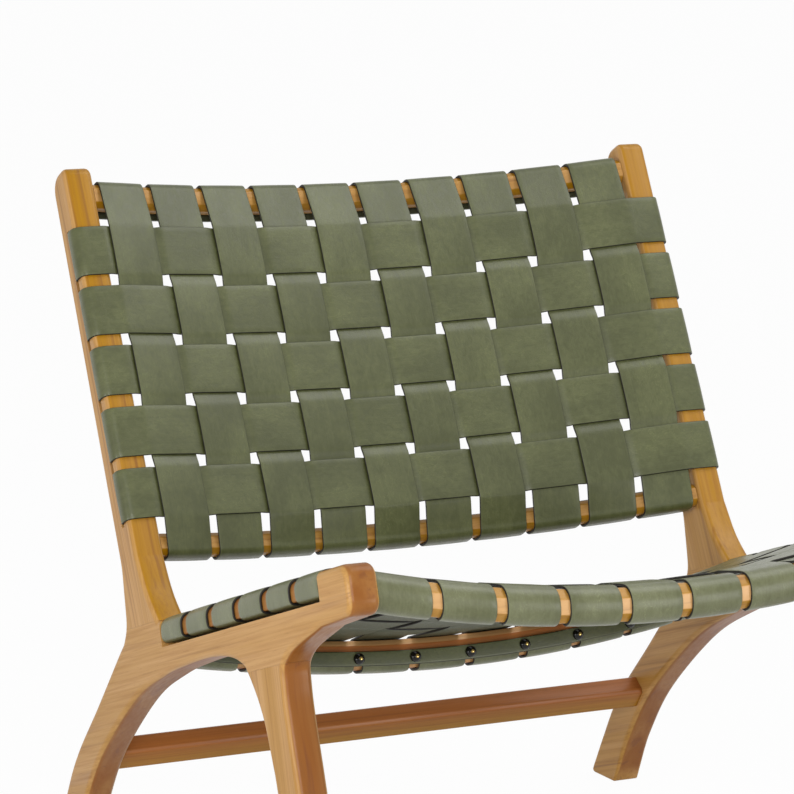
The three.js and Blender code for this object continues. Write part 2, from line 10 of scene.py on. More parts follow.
import bpy
import numpy as np
from bpy.props import FloatProperty, FloatVectorProperty, IntProperty, PointerProperty
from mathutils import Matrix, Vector


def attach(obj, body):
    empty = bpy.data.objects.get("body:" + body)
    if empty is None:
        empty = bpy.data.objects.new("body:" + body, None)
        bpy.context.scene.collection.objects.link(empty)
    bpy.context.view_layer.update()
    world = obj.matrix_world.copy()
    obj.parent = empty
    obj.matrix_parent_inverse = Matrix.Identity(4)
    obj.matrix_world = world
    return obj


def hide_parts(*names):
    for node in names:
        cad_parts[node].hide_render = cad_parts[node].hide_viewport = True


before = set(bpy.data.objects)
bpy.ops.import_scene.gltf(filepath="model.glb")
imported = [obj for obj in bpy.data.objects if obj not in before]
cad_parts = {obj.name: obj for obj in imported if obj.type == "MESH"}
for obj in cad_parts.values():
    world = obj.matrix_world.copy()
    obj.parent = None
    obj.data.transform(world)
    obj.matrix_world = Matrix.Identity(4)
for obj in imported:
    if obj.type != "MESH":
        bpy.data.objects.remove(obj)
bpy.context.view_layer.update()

bl_info = {
    "name": "Woven Leather Lounge Chair",
    "version": (1, 0, 0),
    "blender": (4, 5, 0),
    "location": "3D View > Sidebar > Chair",
    "description": "Builds a timber lounge chair whose seat and back are woven from leather straps",
    "category": "Add Mesh",
}

BODY = "root"

# The chair stands centred on its box, so the side view is moved forward by this much.
CENTRE_SHIFT = 0.01877


def length(name, default, description):
    """A length property in metres."""
    return FloatProperty(name=name, description=description, default=default, unit="LENGTH", precision=5)


def colour(name, default, description):
    """A linear colour property."""
    return FloatVectorProperty(
        name=name, description=description, default=default, size=3, min=0.0, max=1.0, subtype="COLOR"
    )


def power(name, default, description):
    """The power of a lamp in watts."""
    return FloatProperty(name=name, description=description, default=default, unit="POWER")


def factor(name, default, description):
    """A strength or a share, where one is the whole."""
    return FloatProperty(name=name, description=description, default=default, subtype="FACTOR")


class StrapSettings(bpy.types.PropertyGroup):
    """Sizes of the leather straps and of their weave."""

    width: length("Strap width", 0.0493, "Width of every strap")
    thickness: length("Strap thickness", 0.0024, "Thickness of the leather")
    pitch: length("Strap pitch", 0.058, "Distance between the middles of two long straps")
    lift: length("Weave lift", 0.0013, "Height of a strap over the middle of the weave at a crossing")
    crown: length("Crossing crown", 0.0004, "Extra rise at the middle of a crossing")
    pillow: length("Strap pillow", 0.00022, "Rise of a strap's middle over its edges")
    edge_round: length("Edge round", 0.0007, "Rounding of the cut edges")
    step: length("Path step", 0.0017, "Distance between two rings of a strap's mesh")
    wander: length("Wander", 0.00035, "How far a hand-laid strap strays from its place")
    count: IntProperty(name="Long straps", description="Number of long straps in a panel", default=10, min=2)


class FrameSettings(bpy.types.PropertyGroup):
    """Sizes of the timber frame."""

    inner: length("Inner face", 0.292, "Distance of a side frame's inner face from the middle")
    thickness: length("Side thickness", 0.029, "Thickness of a side frame")
    plank_round: length("Plank round", 0.0062, "Rounding of the edges of planks and legs")
    arch_round: length("Arch round", 0.0042, "Rounding of the edges of the arch under a plank")
    horn_round: length("Horn round", 0.0105, "Rounding of the edges at the front end of a plank")
    foot_round: length("Foot round", 0.0018, "Rounding of the edges at the floor")
    post_round: length("Post round", 0.0056, "Rounding of the edges of the back posts")
    joint_gap: length("Joint line", 0.00012, "Width of the line where two timbers meet")


class FinishSettings(bpy.types.PropertyGroup):
    """Colours of the finishes."""

    leather: colour("Leather", (0.061, 0.068, 0.020), "Olive grain side")
    leather_pale: colour("Rubbed leather", (0.102, 0.112, 0.041), "Paler patches of the grain side")
    # The seat tones are the back tones made paler and greyer: painted sheen on the seat straps
    leather_seat: colour("Seat leather", (0.100, 0.107, 0.044), "Olive grain side of the seat straps")
    leather_seat_pale: colour("Rubbed seat", (0.160, 0.169, 0.085), "Paler patches of the seat straps")
    leather_flesh: colour("Leather back", (0.090, 0.098, 0.052), "Flesh side of the straps")
    # Near black: the dyed edge, darkened further as painted shade beside a strap's edge
    leather_edge: colour("Leather edge", (0.009, 0.007, 0.004), "Dark painted edge")
    wood_gold: colour("Golden wood", (0.410, 0.192, 0.002), "Golden heartwood")
    wood_tan: colour("Tan wood", (0.570, 0.315, 0.105), "Paler bands")
    # Darker red-brown for the rims and the front and under faces of planks and legs: painted shade
    wood_rim: colour("Rim wood", (0.270, 0.092, 0.014), "Redder wood of bends and rounded edges")
    # A paler copy of the tan on the front rail and on the rear rail's chamfers: painted light
    wood_pale: colour("Pale wood", (0.740, 0.430, 0.180), "Pale timber of the front rail")
    # Darker reddish tone of the stretcher and the rear rail: painted shade under the seat
    wood_red: colour("Red wood", (0.390, 0.132, 0.031), "Reddish timber of the stretcher and the rear rail")
    wood_brown: colour("Brown wood", (0.240, 0.080, 0.014), "Dark fibres")
    wood_streak: colour("Streak", (0.170, 0.055, 0.024), "Mineral streaks")
    tack: colour("Tack", (0.006, 0.005, 0.004), "Blackened tack heads")
    # Brass on the crown of a tack stands in for a warm reflection: painted glint
    tack_worn: colour("Worn tack", (0.520, 0.360, 0.110), "Brass that shows on the crown of a tack")


class StageSettings(bpy.types.PropertyGroup):
    """Light and floor of the studio."""

    floor: colour("Floor", (0.72, 0.72, 0.715), "Pale floor")
    floor_glow: factor("Floor glow", 0.97, "Share of plain white in the floor as seen")
    world_strength: factor("Room light", 0.37, "Strength of the white room")
    side_power: power("Side lamp", 20.0, "Power of the lamp at the left")
    front_power: power("Front lamp", 47.0, "Power of the lamp in front")
    low_power: power("Low lamp", 13.0, "Power of the low lamp in front")
    top_power: power("Top lamp", 21.0, "Power of the lamp overhead")


class ChairSettings(bpy.types.PropertyGroup):
    """Everything a user may change."""

    straps: PointerProperty(type=StrapSettings)
    timber: PointerProperty(type=FrameSettings)
    finish: PointerProperty(type=FinishSettings)
    stage: PointerProperty(type=StageSettings)


# Panels and rails

# A rail: its end of the panel, the V of its outer face, its section, how far it hangs under the weave,
# its own dip, the bend of the straps round it, its chamfer, its turn, and whether the straps end inside it.
Rail = namedtuple("Rail", "name sign outer depth height drop dip bend chamfer turn wraps_inside")

# The edge of a post or plank that the cross straps wrap: its outer side, depth, rounding and rise,
# and the bend of the strap as it turns into the slot.
Batten = namedtuple("Batten", "side depth round rise tuck")

# A panel: the middle and the direction of its side view, the places of its cross straps, its bow,
# and the fan and lean of its long straps.
Panel = namedtuple("Panel", "name centre_y centre_z along_y along_z rows bow fan lean rails batten")

# Middle of the leather over the wood that it lies on, and the play between pieces
LAY = 0.00165
CLEARANCE = 0.0003

# How far the weave of a strap runs past its last crossings, and stops short of a batten
LONG_LEAD = 0.0012
CROSS_LEAD = 0.0006
BATTEN_LEAD = 0.0015

# Ends of the straps and the strips that cover them
TAIL_PAST_WOOD = 0.004
TAIL_UNDER_STRIP = 0.0075
STRIP_ROOM = 0.0027
STRIP_LIFT = 0.0095
STRIP_WIDTH = 0.014
STRIP_THICKNESS = 0.0024
STRIP_END = 0.282

# What each piece of leather draws: its place in the pattern from zero to the first, and from the two spans
# the radians per metre and the start of its stray
SEEDS = 40.0
STRAY_RATE = (6.0, 14.0)
STRAY_START = (0.0, 6.0)

# Points along a weave before its path is spaced evenly, and rings along strips and bars
LONG_POINTS = 400
CROSS_POINTS = 600
STRIP_RINGS = 120
RAIL_RINGS = 90
STRETCHER_RINGS = 40

RECLINE = math.radians(27.0)
RISE = math.radians(17.7)
FRONT_RAIL_TURN = math.radians(-12.0)

BACK = Panel(
    name="back",
    centre_y=0.224 - CENTRE_SHIFT,
    centre_z=0.4955,
    along_y=math.sin(RECLINE),
    along_z=math.cos(RECLINE),
    rows=(np.arange(5) - 2.0) * 0.061,
    bow=0.0334,
    fan=0.0,
    lean=0.0,
    rails=(
        Rail(
            name="back_lower_rail", sign=-1, outer=0.182, depth=0.022, height=0.020, drop=0.0045,
            dip=0.0070, bend=0.006, chamfer=0.0055, turn=0.0, wraps_inside=False,
        ),
        Rail(
            name="back_top_rail", sign=1, outer=0.194, depth=0.025, height=0.020, drop=0.0045,
            dip=0.0035, bend=0.006, chamfer=0.0055, turn=0.0, wraps_inside=False,
        ),
    ),
    batten=Batten(side=0.321, depth=0.0145, round=0.006, rise=0.0, tuck=0.0026),
)
SEAT = Panel(
    name="seat",
    centre_y=-0.0994 - CENTRE_SHIFT,
    centre_z=0.3397,
    along_y=math.cos(RISE),
    along_z=-math.sin(RISE),
    rows=(np.arange(6) - 2.5) * 0.063 + 0.012,
    bow=0.0364,
    fan=0.021,
    lean=0.0076,
    rails=(
        Rail(
            name="seat_front_rail", sign=-1, outer=0.2217, depth=0.022, height=0.029, drop=0.0070,
            dip=-0.0030, bend=0.0125, chamfer=0.0078, turn=FRONT_RAIL_TURN, wraps_inside=True,
        ),
        Rail(
            name="seat_rear_rail", sign=1, outer=0.2398, depth=0.022, height=0.028, drop=0.0090,
            dip=-0.0075, bend=0.006, chamfer=0.0055, turn=0.0, wraps_inside=True,
        ),
    ),
    batten=Batten(side=0.318, depth=0.016, round=0.0085, rise=0.0025, tuck=0.0036),
)


def panel_points(panel, x, v, w):
    """World points of panel places: the side view is centre + v along the panel + w out of it."""
    x, v, w = np.broadcast_arrays(x, v, w)
    y = panel.centre_y + v * panel.along_y - w * panel.along_z
    z = panel.centre_z + v * panel.along_z + w * panel.along_y
    return np.stack([x, y, z], axis=-1)


def side_point(panel, v, w):
    """The (y, z) of one place on a panel's side view."""
    return panel_points(panel, 0.0, v, w)[1:]


# Curves

def arc(centre_a, centre_b, radius, start, stop, steps=10):
    """Points of a circle: centre + radius times (cosine, sine), over a span of angles in degrees."""
    turn = np.radians(np.linspace(start, stop, steps + 1))
    return np.stack([centre_a + radius * np.cos(turn), centre_b + radius * np.sin(turn)], axis=-1)


def smooth_curve(points, steps):
    """A uniform Catmull-Rom curve through points.

    Each span is a cubic between two points, and its slope at a point is half the chord of that point's
    neighbours.
    """
    points = np.asarray(points, float)
    ends = np.stack([2 * points[0] - points[1], 2 * points[-1] - points[-2]])
    p = np.concatenate([ends[:1], points, ends[1:]])
    t = np.linspace(0.0, 1.0, steps, endpoint=False)[None, :, None]
    a, b, c, d = (p[i : len(p) - 3 + i, None, :] for i in range(4))
    spans = 0.5 * (
        2 * b + (c - a) * t + (2 * a - 5 * b + 4 * c - d) * t**2 + (3 * b - a - 3 * c + d) * t**3
    )
    return np.concatenate([spans.reshape(-1, points.shape[1]), points[-1:]])


def path_lengths(points):
    """Distance from the start of a path to each of its points."""
    steps = np.linalg.norm(np.diff(points, axis=0), axis=1)
    return np.concatenate([[0.0], np.cumsum(steps)])


def even_path(points, step):
    """The same path with points at equal distances."""
    run = path_lengths(points)
    places = np.linspace(0.0, run[-1], max(2, int(round(run[-1] / step)) + 1))
    return np.stack([np.interp(places, run, points[:, k]) for k in range(points.shape[1])], axis=-1)


def soften(points, passes=2):
    """A path whose inner points move to a quarter, half, quarter mean of themselves and their neighbours."""
    for _ in range(passes):
        inner = 0.25 * points[:-2] + 0.5 * points[1:-1] + 0.25 * points[2:]
        points = np.concatenate([points[:1], inner, points[-1:]])
    return points


def left_normals(points):
    """Unit vectors to the left of a path: its slope turned by a quarter."""
    slope = np.gradient(points, axis=0)
    slope /= np.linalg.norm(slope, axis=1, keepdims=True)
    return np.stack([-slope[:, 1], slope[:, 0]], axis=-1)


def eased(places, knots, values):
    """Values joined by smooth steps: in each span the share t becomes t * t * (3 - 2 t)."""
    span = np.clip(np.searchsorted(knots, places) - 1, 0, len(knots) - 2)
    t = np.clip((places - knots[span]) / (knots[span + 1] - knots[span]), 0.0, 1.0)
    return values[span] + (values[span + 1] - values[span]) * t * t * (3.0 - 2.0 * t)


# Meshes

def add_piece(name, vertices, faces):
    """A mesh object at the origin whose faces are turned outwards if their volume comes out negative."""
    mesh = bpy.data.meshes.new(name)
    mesh.from_pydata(vertices.tolist(), [], faces)
    mesh.calc_loop_triangles()
    corners = np.empty(len(mesh.loop_triangles) * 3, np.int32)
    mesh.loop_triangles.foreach_get("vertices", corners)
    a, b, c = (vertices[corners.reshape(-1, 3)[:, k]] for k in range(3))
    if np.einsum("ij,ij->", a, np.cross(b, c)) < 0.0:
        mesh.flip_normals()
    mesh.update()
    piece = bpy.data.objects.new(name, mesh)
    bpy.context.scene.collection.objects.link(piece)
    return piece


def sweep(name, points):
    """A closed skin over an (n, m, 3) grid: n rings of m points, and a face over each end."""
    rings, around = points.shape[:2]
    index = np.arange(rings * around).reshape(rings, around)
    beside = np.roll(index, -1, axis=1)
    quads = np.stack([index[:-1], beside[:-1], beside[1:], index[1:]], axis=-1).reshape(-1, 4)
    faces = quads.tolist() + [index[0][::-1].tolist(), index[-1].tolist()]
    return add_piece(name, points.reshape(-1, 3), faces)


def mark(piece, name, values):
    """A named value, or a named vector, on every vertex of a piece."""
    values = np.asarray(values, np.float32)
    kind, field = ("FLOAT", "value") if values.ndim == 1 else ("FLOAT_VECTOR", "vector")
    piece.data.attributes.new(name, kind, "POINT").data.foreach_set(field, values.ravel())


def finish_piece(piece, material, nodes, sharp=40.0):
    """Shading, material and body of a piece; the nodes that it stands for are hidden."""
    piece.data.shade_smooth()
    piece.data.set_sharp_from_angle(angle=math.radians(sharp))
    piece.data.materials.clear()
    piece.data.materials.append(material)
    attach(piece, BODY)
    if nodes:
        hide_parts(*nodes)
    return piece


def carve(piece, cutter, operation="DIFFERENCE"):
    """Cut a piece with a solid, keep the result as its mesh and throw the cutter away."""
    cut = piece.modifiers.new("cut", "BOOLEAN")
    cut.operation = operation
    cut.solver = "EXACT"
    cut.object = cutter
    bpy.context.view_layer.update()
    depsgraph = bpy.context.evaluated_depsgraph_get()
    carved = bpy.data.meshes.new_from_object(piece.evaluated_get(depsgraph))
    old = piece.data
    piece.modifiers.clear()
    piece.data = carved
    carved.name = piece.name
    bpy.data.meshes.remove(old)
    waste = cutter.data
    bpy.data.objects.remove(cutter)
    bpy.data.meshes.remove(waste)
    if not carved.polygons:
        raise RuntimeError(f"nothing is left of {piece.name}")


def block(name, panel, x_span, v_span, w_span):
    """A box in a panel's axes: its section in X and W is carried along V."""
    x = np.array([x_span[0], x_span[1], x_span[1], x_span[0]])
    w = np.array([w_span[0], w_span[0], w_span[1], w_span[1]])
    v = np.array(v_span)[:, None]
    return sweep(name, panel_points(panel, x[None, :], v, w[None, :]))


# Leather straps

def bow_share(x, chair):
    """The bow of rails and straps: a parabola, one in the middle of the chair and zero at its sides."""
    half = chair.straps.count * chair.straps.pitch / 2
    return 1.0 - np.minimum(np.abs(x) / half, 1.0) ** 2


def rail_sag(panel, rail, x, chair):
    """How far a rail hangs out of the flat panel: the panel's bow and the rail's own dip."""
    return -(panel.bow + rail.dip) * bow_share(x, chair)


def strap_shift(panel, x, v):
    """Sideways shift of the long straps: a fan that grows with the square of V, and a slight lean."""
    return panel.fan * x * (v / panel.rails[1].outer) ** 2 + panel.lean * v


def column_places(chair):
    """Middles of the long straps across the chair."""
    count = chair.straps.count
    return (np.arange(count) - (count - 1) / 2) * chair.straps.pitch


def crossing_level(places, centres, signs, straps):
    """Height of a strap over the weave: plus or minus the lift at each crossing, with a low crown there."""
    half = straps.width / 2
    knots = np.ravel([centres - half, centres + half], order="F")
    levels = np.repeat(signs, 2) * straps.lift
    away = places[:, None] - centres[None, :]
    nearest = np.argmin(np.abs(away), axis=1)
    share = np.take_along_axis(away, nearest[:, None], axis=1)[:, 0] / half
    crown = straps.crown * np.clip(1.0 - share**2, 0.0, 1.0) * signs[nearest]
    return eased(places, knots, levels) + crown


# A strap's section: its ring of (across, lift), and the marks of its painted edges and its flesh side
Section = namedtuple("Section", "ring edge flesh")


def strap_section(straps, width=None, thickness=None):
    """A strap's section: a slightly pillowed face over a flat one, joined by rounded edges."""
    width = width or straps.width
    thickness = thickness or straps.thickness
    r = straps.edge_round
    half, deep = width / 2 - r, thickness / 2 - r
    face = np.linspace(-half, half, 11)[1:-1]
    flat = np.zeros_like(face)
    ring = np.concatenate([
        arc(half, deep, r, 0, 90, 3),
        np.stack([-face, flat + deep + r], axis=-1),
        arc(-half, deep, r, 90, 180, 3),
        arc(-half, -deep, r, 180, 270, 3),
        np.stack([face, flat - deep - r], axis=-1),
        arc(half, -deep, r, 270, 360, 3),
    ])
    pillow = straps.pillow * (1.0 - (2.0 * ring[:, 0] / width) ** 2)
    above = ring[:, 1] > 0
    ring[:, 1] += np.where(above, pillow, 0.0)
    edge = np.clip((np.abs(ring[:, 0]) - half) / r, 0.0, 1.0)
    flesh = np.where(above, 0.0, 1.0)
    return Section(ring, edge, flesh)


def carried(path, lift):
    """A section's lift carried along a path: place + lift times the path's left normal, as two grids."""
    grid = path[:, None] + left_normals(path)[:, None] * lift[None, :, None]
    return grid[..., 0], grid[..., 1]


def hand_stray(run, straps, chance):
    """Sideways wander of a hand-laid strap: a slow sine along it with a rate and a start of its own."""
    return straps.wander * np.sin(run * chance.uniform(*STRAY_RATE) + chance.uniform(*STRAY_START))


def mark_strap(piece, run, section, seed):
    """Values for the leather: place along and across the strap, its seed, its edges and its flesh side."""
    rings, around = len(run), len(section.ring)
    along = np.repeat(run, around)
    across = np.tile(section.ring[:, 0], rings)
    mark(piece, "strap", np.stack([along, across, np.full_like(along, seed)], axis=-1))
    mark(piece, "edge", np.tile(section.edge, rings))
    mark(piece, "flesh", np.tile(section.flesh, rings))


def rail_middle(rail):
    """The middle of a rail's section, as (outward, W)."""
    return rail.outer - rail.depth / 2, -LAY - rail.drop - rail.height / 2


def turned(rail, outward, w):
    """Places given square to a rail, turned with the rail about its middle."""
    middle, level = rail_middle(rail)
    c, s = math.cos(rail.turn), math.sin(rail.turn)
    a, b = outward - middle, w - level
    return middle + a * c - b * s, level + a * s + b * c


def rail_wrap(rail):
    """A long strap's path round a rail as (outward, W): over it, down its face and under it to its tail."""
    inner = rail.outer - rail.depth
    over = -LAY - rail.drop
    under = over - rail.height
    reach = rail.bend + LAY
    parts = [
        arc(rail.outer - rail.bend, over - rail.bend, reach, 90, 0),
        arc(rail.outer - rail.bend, under + rail.bend, reach, 0, -90),
    ]
    if rail.wraps_inside:
        parts.append(arc(inner + rail.bend, under + rail.bend, reach, -90, -180))
        parts.append([[inner - LAY, under + TAIL_UNDER_STRIP]])
    else:
        parts.append([[inner - TAIL_PAST_WOOD, under - LAY]])
    path = np.concatenate(parts)
    return np.stack(turned(rail, path[:, 0], path[:, 1]), axis=-1)


def long_strap_path(panel, signs, chair):
    """A long strap's path as (V, W): round the first rail, through the weave, round the last rail.

    Between a rail and the nearest crossing the strap is a straight line. The two shares given with
    the path are one on the first and on the last rail, and fall to zero along those lines.
    """
    reach = chair.straps.width / 2 + LONG_LEAD
    v = np.linspace(panel.rows[0] - reach, panel.rows[-1] + reach, LONG_POINTS)
    weave = np.stack([v, crossing_level(v, panel.rows, signs, chair.straps)], axis=-1)
    start = rail_wrap(panel.rails[0])[::-1] * np.array([-1.0, 1.0])
    whole = np.concatenate([start, weave, rail_wrap(panel.rails[1])])
    marks = path_lengths(whole)
    path = soften(even_path(whole, chair.straps.step))
    run = path_lengths(path) * marks[-1] / path_lengths(path)[-1]
    enter, leave = len(start), len(start) + len(weave) - 1
    first = np.interp(run, marks[[enter - 1, enter]], [1.0, 0.0])
    last = np.interp(run, marks[[leave, leave + 1]], [0.0, 1.0])
    return path, first, last


def long_strap(panel, column, material, chair, chance):
    """One long strap: its section carried along its path, bent across to the bow of the rails."""
    straps = chair.straps
    rows = np.arange(len(panel.rows))
    signs = np.where((column + rows) % 2 == 0, 1.0, -1.0)
    path, first, last = long_strap_path(panel, signs, chair)
    run = path_lengths(path)
    section = strap_section(straps)
    middle = column_places(chair)[column]
    stray = hand_stray(run, straps, chance) + strap_shift(panel, middle, path[:, 0])
    x = middle + stray[:, None] + section.ring[None, :, 0]
    v, w = carried(path, section.ring[:, 1])
    deep = panel.bow + first * panel.rails[0].dip + last * panel.rails[1].dip
    w = w - deep[:, None] * bow_share(x, chair)
    name = f"{panel.name}_long_strap_{column + 1:02d}"
    piece = sweep(f"woven_{name}", panel_points(panel, x, v, w))
    mark_strap(piece, run, section, chance.uniform(0.0, SEEDS))
    return finish_piece(piece, material, [name])


def batten_wrap(batten, inner):
    """A cross strap's end as (X, W): onto the batten, round its edge, down its side and through the slot."""
    under = -LAY - batten.depth
    bend = batten.tuck
    out = batten.side + LAY
    return np.concatenate([
        [[inner - BATTEN_LEAD, batten.rise]],
        arc(batten.side - batten.round, batten.rise - LAY - batten.round, batten.round + LAY, 90, 0),
        arc(out - bend, under - LAY + bend, bend, 0, -90, 6),
        [[inner - TAIL_PAST_WOOD, under - LAY]],
    ])


def cross_strap(panel, row, material, chair, chance):
    """One cross strap: out of one slot, over a batten, through the bowed weave and into the other slot."""
    straps = chair.straps
    columns = column_places(chair)
    reach = straps.width / 2 + CROSS_LEAD
    signs = np.where((np.arange(straps.count) + row) % 2 == 0, -1.0, 1.0)
    x = np.linspace(columns[0] - reach, columns[-1] + reach, CROSS_POINTS)
    level = crossing_level(x, columns, signs, straps)
    weave = np.stack([x, level - panel.bow * bow_share(x, chair)], axis=-1)
    end = batten_wrap(panel.batten, chair.timber.inner)
    start = end[::-1] * np.array([-1.0, 1.0])
    path = soften(even_path(np.concatenate([start, weave, end]), straps.step), 3)
    run = path_lengths(path)
    section = strap_section(straps)
    stray = hand_stray(run, straps, chance)
    v = panel.rows[row] + stray[:, None] - section.ring[None, :, 0]
    x, w = carried(path, section.ring[:, 1])
    name = f"{panel.name}_cross_strap_{row + 1}"
    piece = sweep(f"woven_{name}", panel_points(panel, x, v, w))
    mark_strap(piece, run, section, chance.uniform(0.0, SEEDS))
    return finish_piece(piece, material, [name])


def on_strip(rail, across, up):
    """Places on a rail's cover strip, across it and up from its middle, turned into (outward, W)."""
    stack = 2 * CLEARANCE + STRIP_ROOM + STRIP_THICKNESS / 2
    under = -LAY - rail.drop - rail.height
    if rail.wraps_inside:
        return turned(rail, rail.outer - rail.depth - stack - up, under + STRIP_LIFT + across)
    return turned(rail, rail.outer - rail.depth / 2 + across, under - stack - up)


def along_rail(panel, rail, x, outward, w, chair):
    """A section given as (outward, W), carried across the chair along a rail and lowered by its sag."""
    sag = rail_sag(panel, rail, x, chair)
    return panel_points(panel, x[:, None], rail.sign * outward[None, :], w[None, :] + sag[:, None])


def cover_strip(panel, rail, material, chair, chance):
    """A cover strip: a small strap section carried across the chair along the bow of its rail."""
    section = strap_section(chair.straps, STRIP_WIDTH, STRIP_THICKNESS)
    x = np.linspace(-STRIP_END, STRIP_END, STRIP_RINGS)
    outward, w = on_strip(rail, section.ring[:, 0], section.ring[:, 1])
    name = rail.name.replace("rail", "cover_strip")
    piece = sweep(f"tacked_{name}", along_rail(panel, rail, x, outward, w, chair))
    mark_strap(piece, x - x[0], section, chance.uniform(0.0, SEEDS))
    return finish_piece(piece, material, [name])


# Tacks

TACK_RADIUS = 0.0056
TACK_HEIGHT = 0.0052
TACK_RIM_SHARE = 0.93
TACK_RIM_DROP = 0.0003


def tack_head(name, panel, rail, x, sag, material, nodes):
    """A dome on a cover strip: circles of radius R cos(t) at height H sin(t), on a short turned-in rim."""
    t = np.radians(np.concatenate([[-14.0], np.linspace(0.0, 86.0, 9)]))
    radius = TACK_RADIUS * np.cos(t) * np.where(t < 0, TACK_RIM_SHARE, 1.0)
    rise = np.where(t < 0, -TACK_RIM_DROP, TACK_HEIGHT * np.sin(t))
    turn = np.linspace(0.0, 2 * np.pi, 28, endpoint=False)
    a = radius[:, None] * np.cos(turn)[None, :]
    b = radius[:, None] * np.sin(turn)[None, :]
    outward, w = on_strip(rail, b, rise[:, None] + STRIP_THICKNESS / 2 + CLEARANCE)
    piece = sweep(name, panel_points(panel, x + a, rail.sign * outward, w + sag))
    mark(piece, "crown", np.repeat(np.sin(t), len(turn)))
    return finish_piece(piece, material, nodes, sharp=60.0)


def tack_row(panel, rail, material, chair):
    """A tack in each gap between two long straps, on the face of the cover strip."""
    columns = column_places(chair)
    gaps = (columns[1:] + columns[:-1]) / 2
    for number, x in enumerate(gaps):
        x = x + strap_shift(panel, x, rail.sign * rail.outer)
        sag = float(rail_sag(panel, rail, x, chair))
        name = f"{rail.name.replace('_rail', '')}_tack_{number + 1}"
        nodes = [name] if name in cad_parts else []
        tack_head(f"dome_{name}", panel, rail, x, sag, material, nodes)


# Timber

# Points on each softened edge of a chamfered bar
EDGE_POINTS = 4


def rounded_ring(half_a, half_b, cut, soft=0.0012):
    """A rectangle with chamfered corners whose eight edges become short quadratic curves, as a ring."""
    chamfer = np.array([[half_a, half_b - cut], [half_a - cut, half_b]])
    corners = np.concatenate([
        chamfer, (chamfer * [-1, 1])[::-1], chamfer * [-1, -1], (chamfer * [1, -1])[::-1],
    ])
    before = corners - np.roll(corners, 1, axis=0)
    after = np.roll(corners, -1, axis=0) - corners
    before /= np.linalg.norm(before, axis=1, keepdims=True)
    after /= np.linalg.norm(after, axis=1, keepdims=True)
    t = np.linspace(0.0, 1.0, EDGE_POINTS)[None, :, None]
    start = (corners - soft * before)[:, None, :]
    stop = (corners + soft * after)[:, None, :]
    middle = corners[:, None, :]
    ring = (1 - t) ** 2 * start + 2 * t * (1 - t) * middle + t**2 * stop
    return ring.reshape(-1, 2)


def ring_flank(rings):
    """Marks for the rings of a chamfered bar: one on its flat faces and zero on its chamfers."""
    out = np.linspace(1.0, 0.0, EDGE_POINTS)
    return np.tile(np.concatenate([out, out[::-1]]), 4 * rings)


def bowed_rail(panel, rail, material, chair):
    """A rail: a chamfered section carried across the chair and lowered by the bow."""
    ring = rounded_ring(rail.depth / 2, rail.height / 2, rail.chamfer)
    reach = chair.timber.inner - CLEARANCE
    x = np.linspace(-reach, reach, RAIL_RINGS)
    middle, level = rail_middle(rail)
    outward, w = turned(rail, middle + ring[:, 0], level + ring[:, 1])
    piece = sweep(f"bowed_{rail.name}", along_rail(panel, rail, x, outward, w, chair))
    mark(piece, "flank", ring_flank(len(x)))
    return finish_piece(piece, material, [rail.name], sharp=50.0)


# The stretcher: the middle of its section on the side view, its turn, its sizes and edges, and the way
# over which its flank mark rises
Stretcher = namedtuple("Stretcher", "y z turn wide deep chamfer soft fade")
STRETCHER = Stretcher(
    y=0.273 - CENTRE_SHIFT, z=0.108, turn=math.radians(54.0),
    wide=0.027, deep=0.0225, chamfer=0.003, soft=0.0008, fade=0.006,
)


def stretcher_bar(material, chair):
    """The stretcher: a chamfered section turned on the side view and carried straight across.

    Its flank mark rises from zero to one over a short way about its middle: the gold of its lower half is
    painted light and the red of its upper half painted shade under the seat.
    """
    ring = rounded_ring(STRETCHER.wide / 2, STRETCHER.deep / 2, STRETCHER.chamfer, STRETCHER.soft)
    reach = chair.timber.inner - CLEARANCE
    x = np.linspace(-reach, reach, STRETCHER_RINGS)[:, None]
    c, s = math.cos(-STRETCHER.turn), math.sin(-STRETCHER.turn)
    y = STRETCHER.y + ring[:, 0] * c - ring[:, 1] * s
    z = STRETCHER.z + ring[:, 0] * s + ring[:, 1] * c
    points = np.stack(np.broadcast_arrays(x, y[None, :], z[None, :]), axis=-1)
    piece = sweep("chamfered_rear_stretcher", points)
    # Flank mark by height: the lower half takes the gold as painted light, the upper half the red as painted
    # shade
    mark(piece, "flank", np.tile(np.clip(0.5 + (z - STRETCHER.z) / STRETCHER.fade, 0.0, 1.0), len(x)))
    return finish_piece(piece, material, ["rear_stretcher"], sharp=50.0)


# Feet: where they stand and how long they are
REAR_HEEL = 0.366 - CENTRE_SHIFT
FRONT_TOE = -0.292 - CENTRE_SHIFT
REAR_FOOT = 0.049
FRONT_FOOT = 0.038

# Posts, along the back and behind its front
POST_TOP = 0.210
POST_TOP_ROUND = 0.009
POST_TOP_REAR_ROUND = 0.019
POST_TOP_DEPTH = 0.037
POST_LOW_DEPTH = 0.044

# Planks, along the seat and over it, with the places where a post and a front leg are split off
PLANK_TOP = 0.0018
PLANK_UNDER = -0.0661
POST_SPLIT = 0.120
LEG_SPLIT = 0.090
HORN_END = 0.2305
HORN_DEPTH = 0.0442
HORN_ROUND = 0.013

# Slots and channels for the straps
SLOT_WIDTH = 0.006
SLOT_END_ROOM = 0.003
CHANNEL_END_ROOM = 0.0012
CHANNEL_LEAST_BEND = 0.001

# Easing of the outline's corners, and of those past a right angle
EASE = 0.0034
LONG_EASE = 0.0078
CORNER = math.radians(30.0)

# Where the rounding of a side frame's edges changes, along the seat, over it and above the floor
POST_FOOT_OVER = (-0.01, 0.05)
HORN_ALONG = (-0.20, -0.15)
HORN_OVER = (-0.07, -0.05)
ARCH_ALONG = (-0.03, 0.01, 0.19, 0.25)
ARCH_OVER = -0.03
FOOT_HEIGHT = (0.0, 0.05)

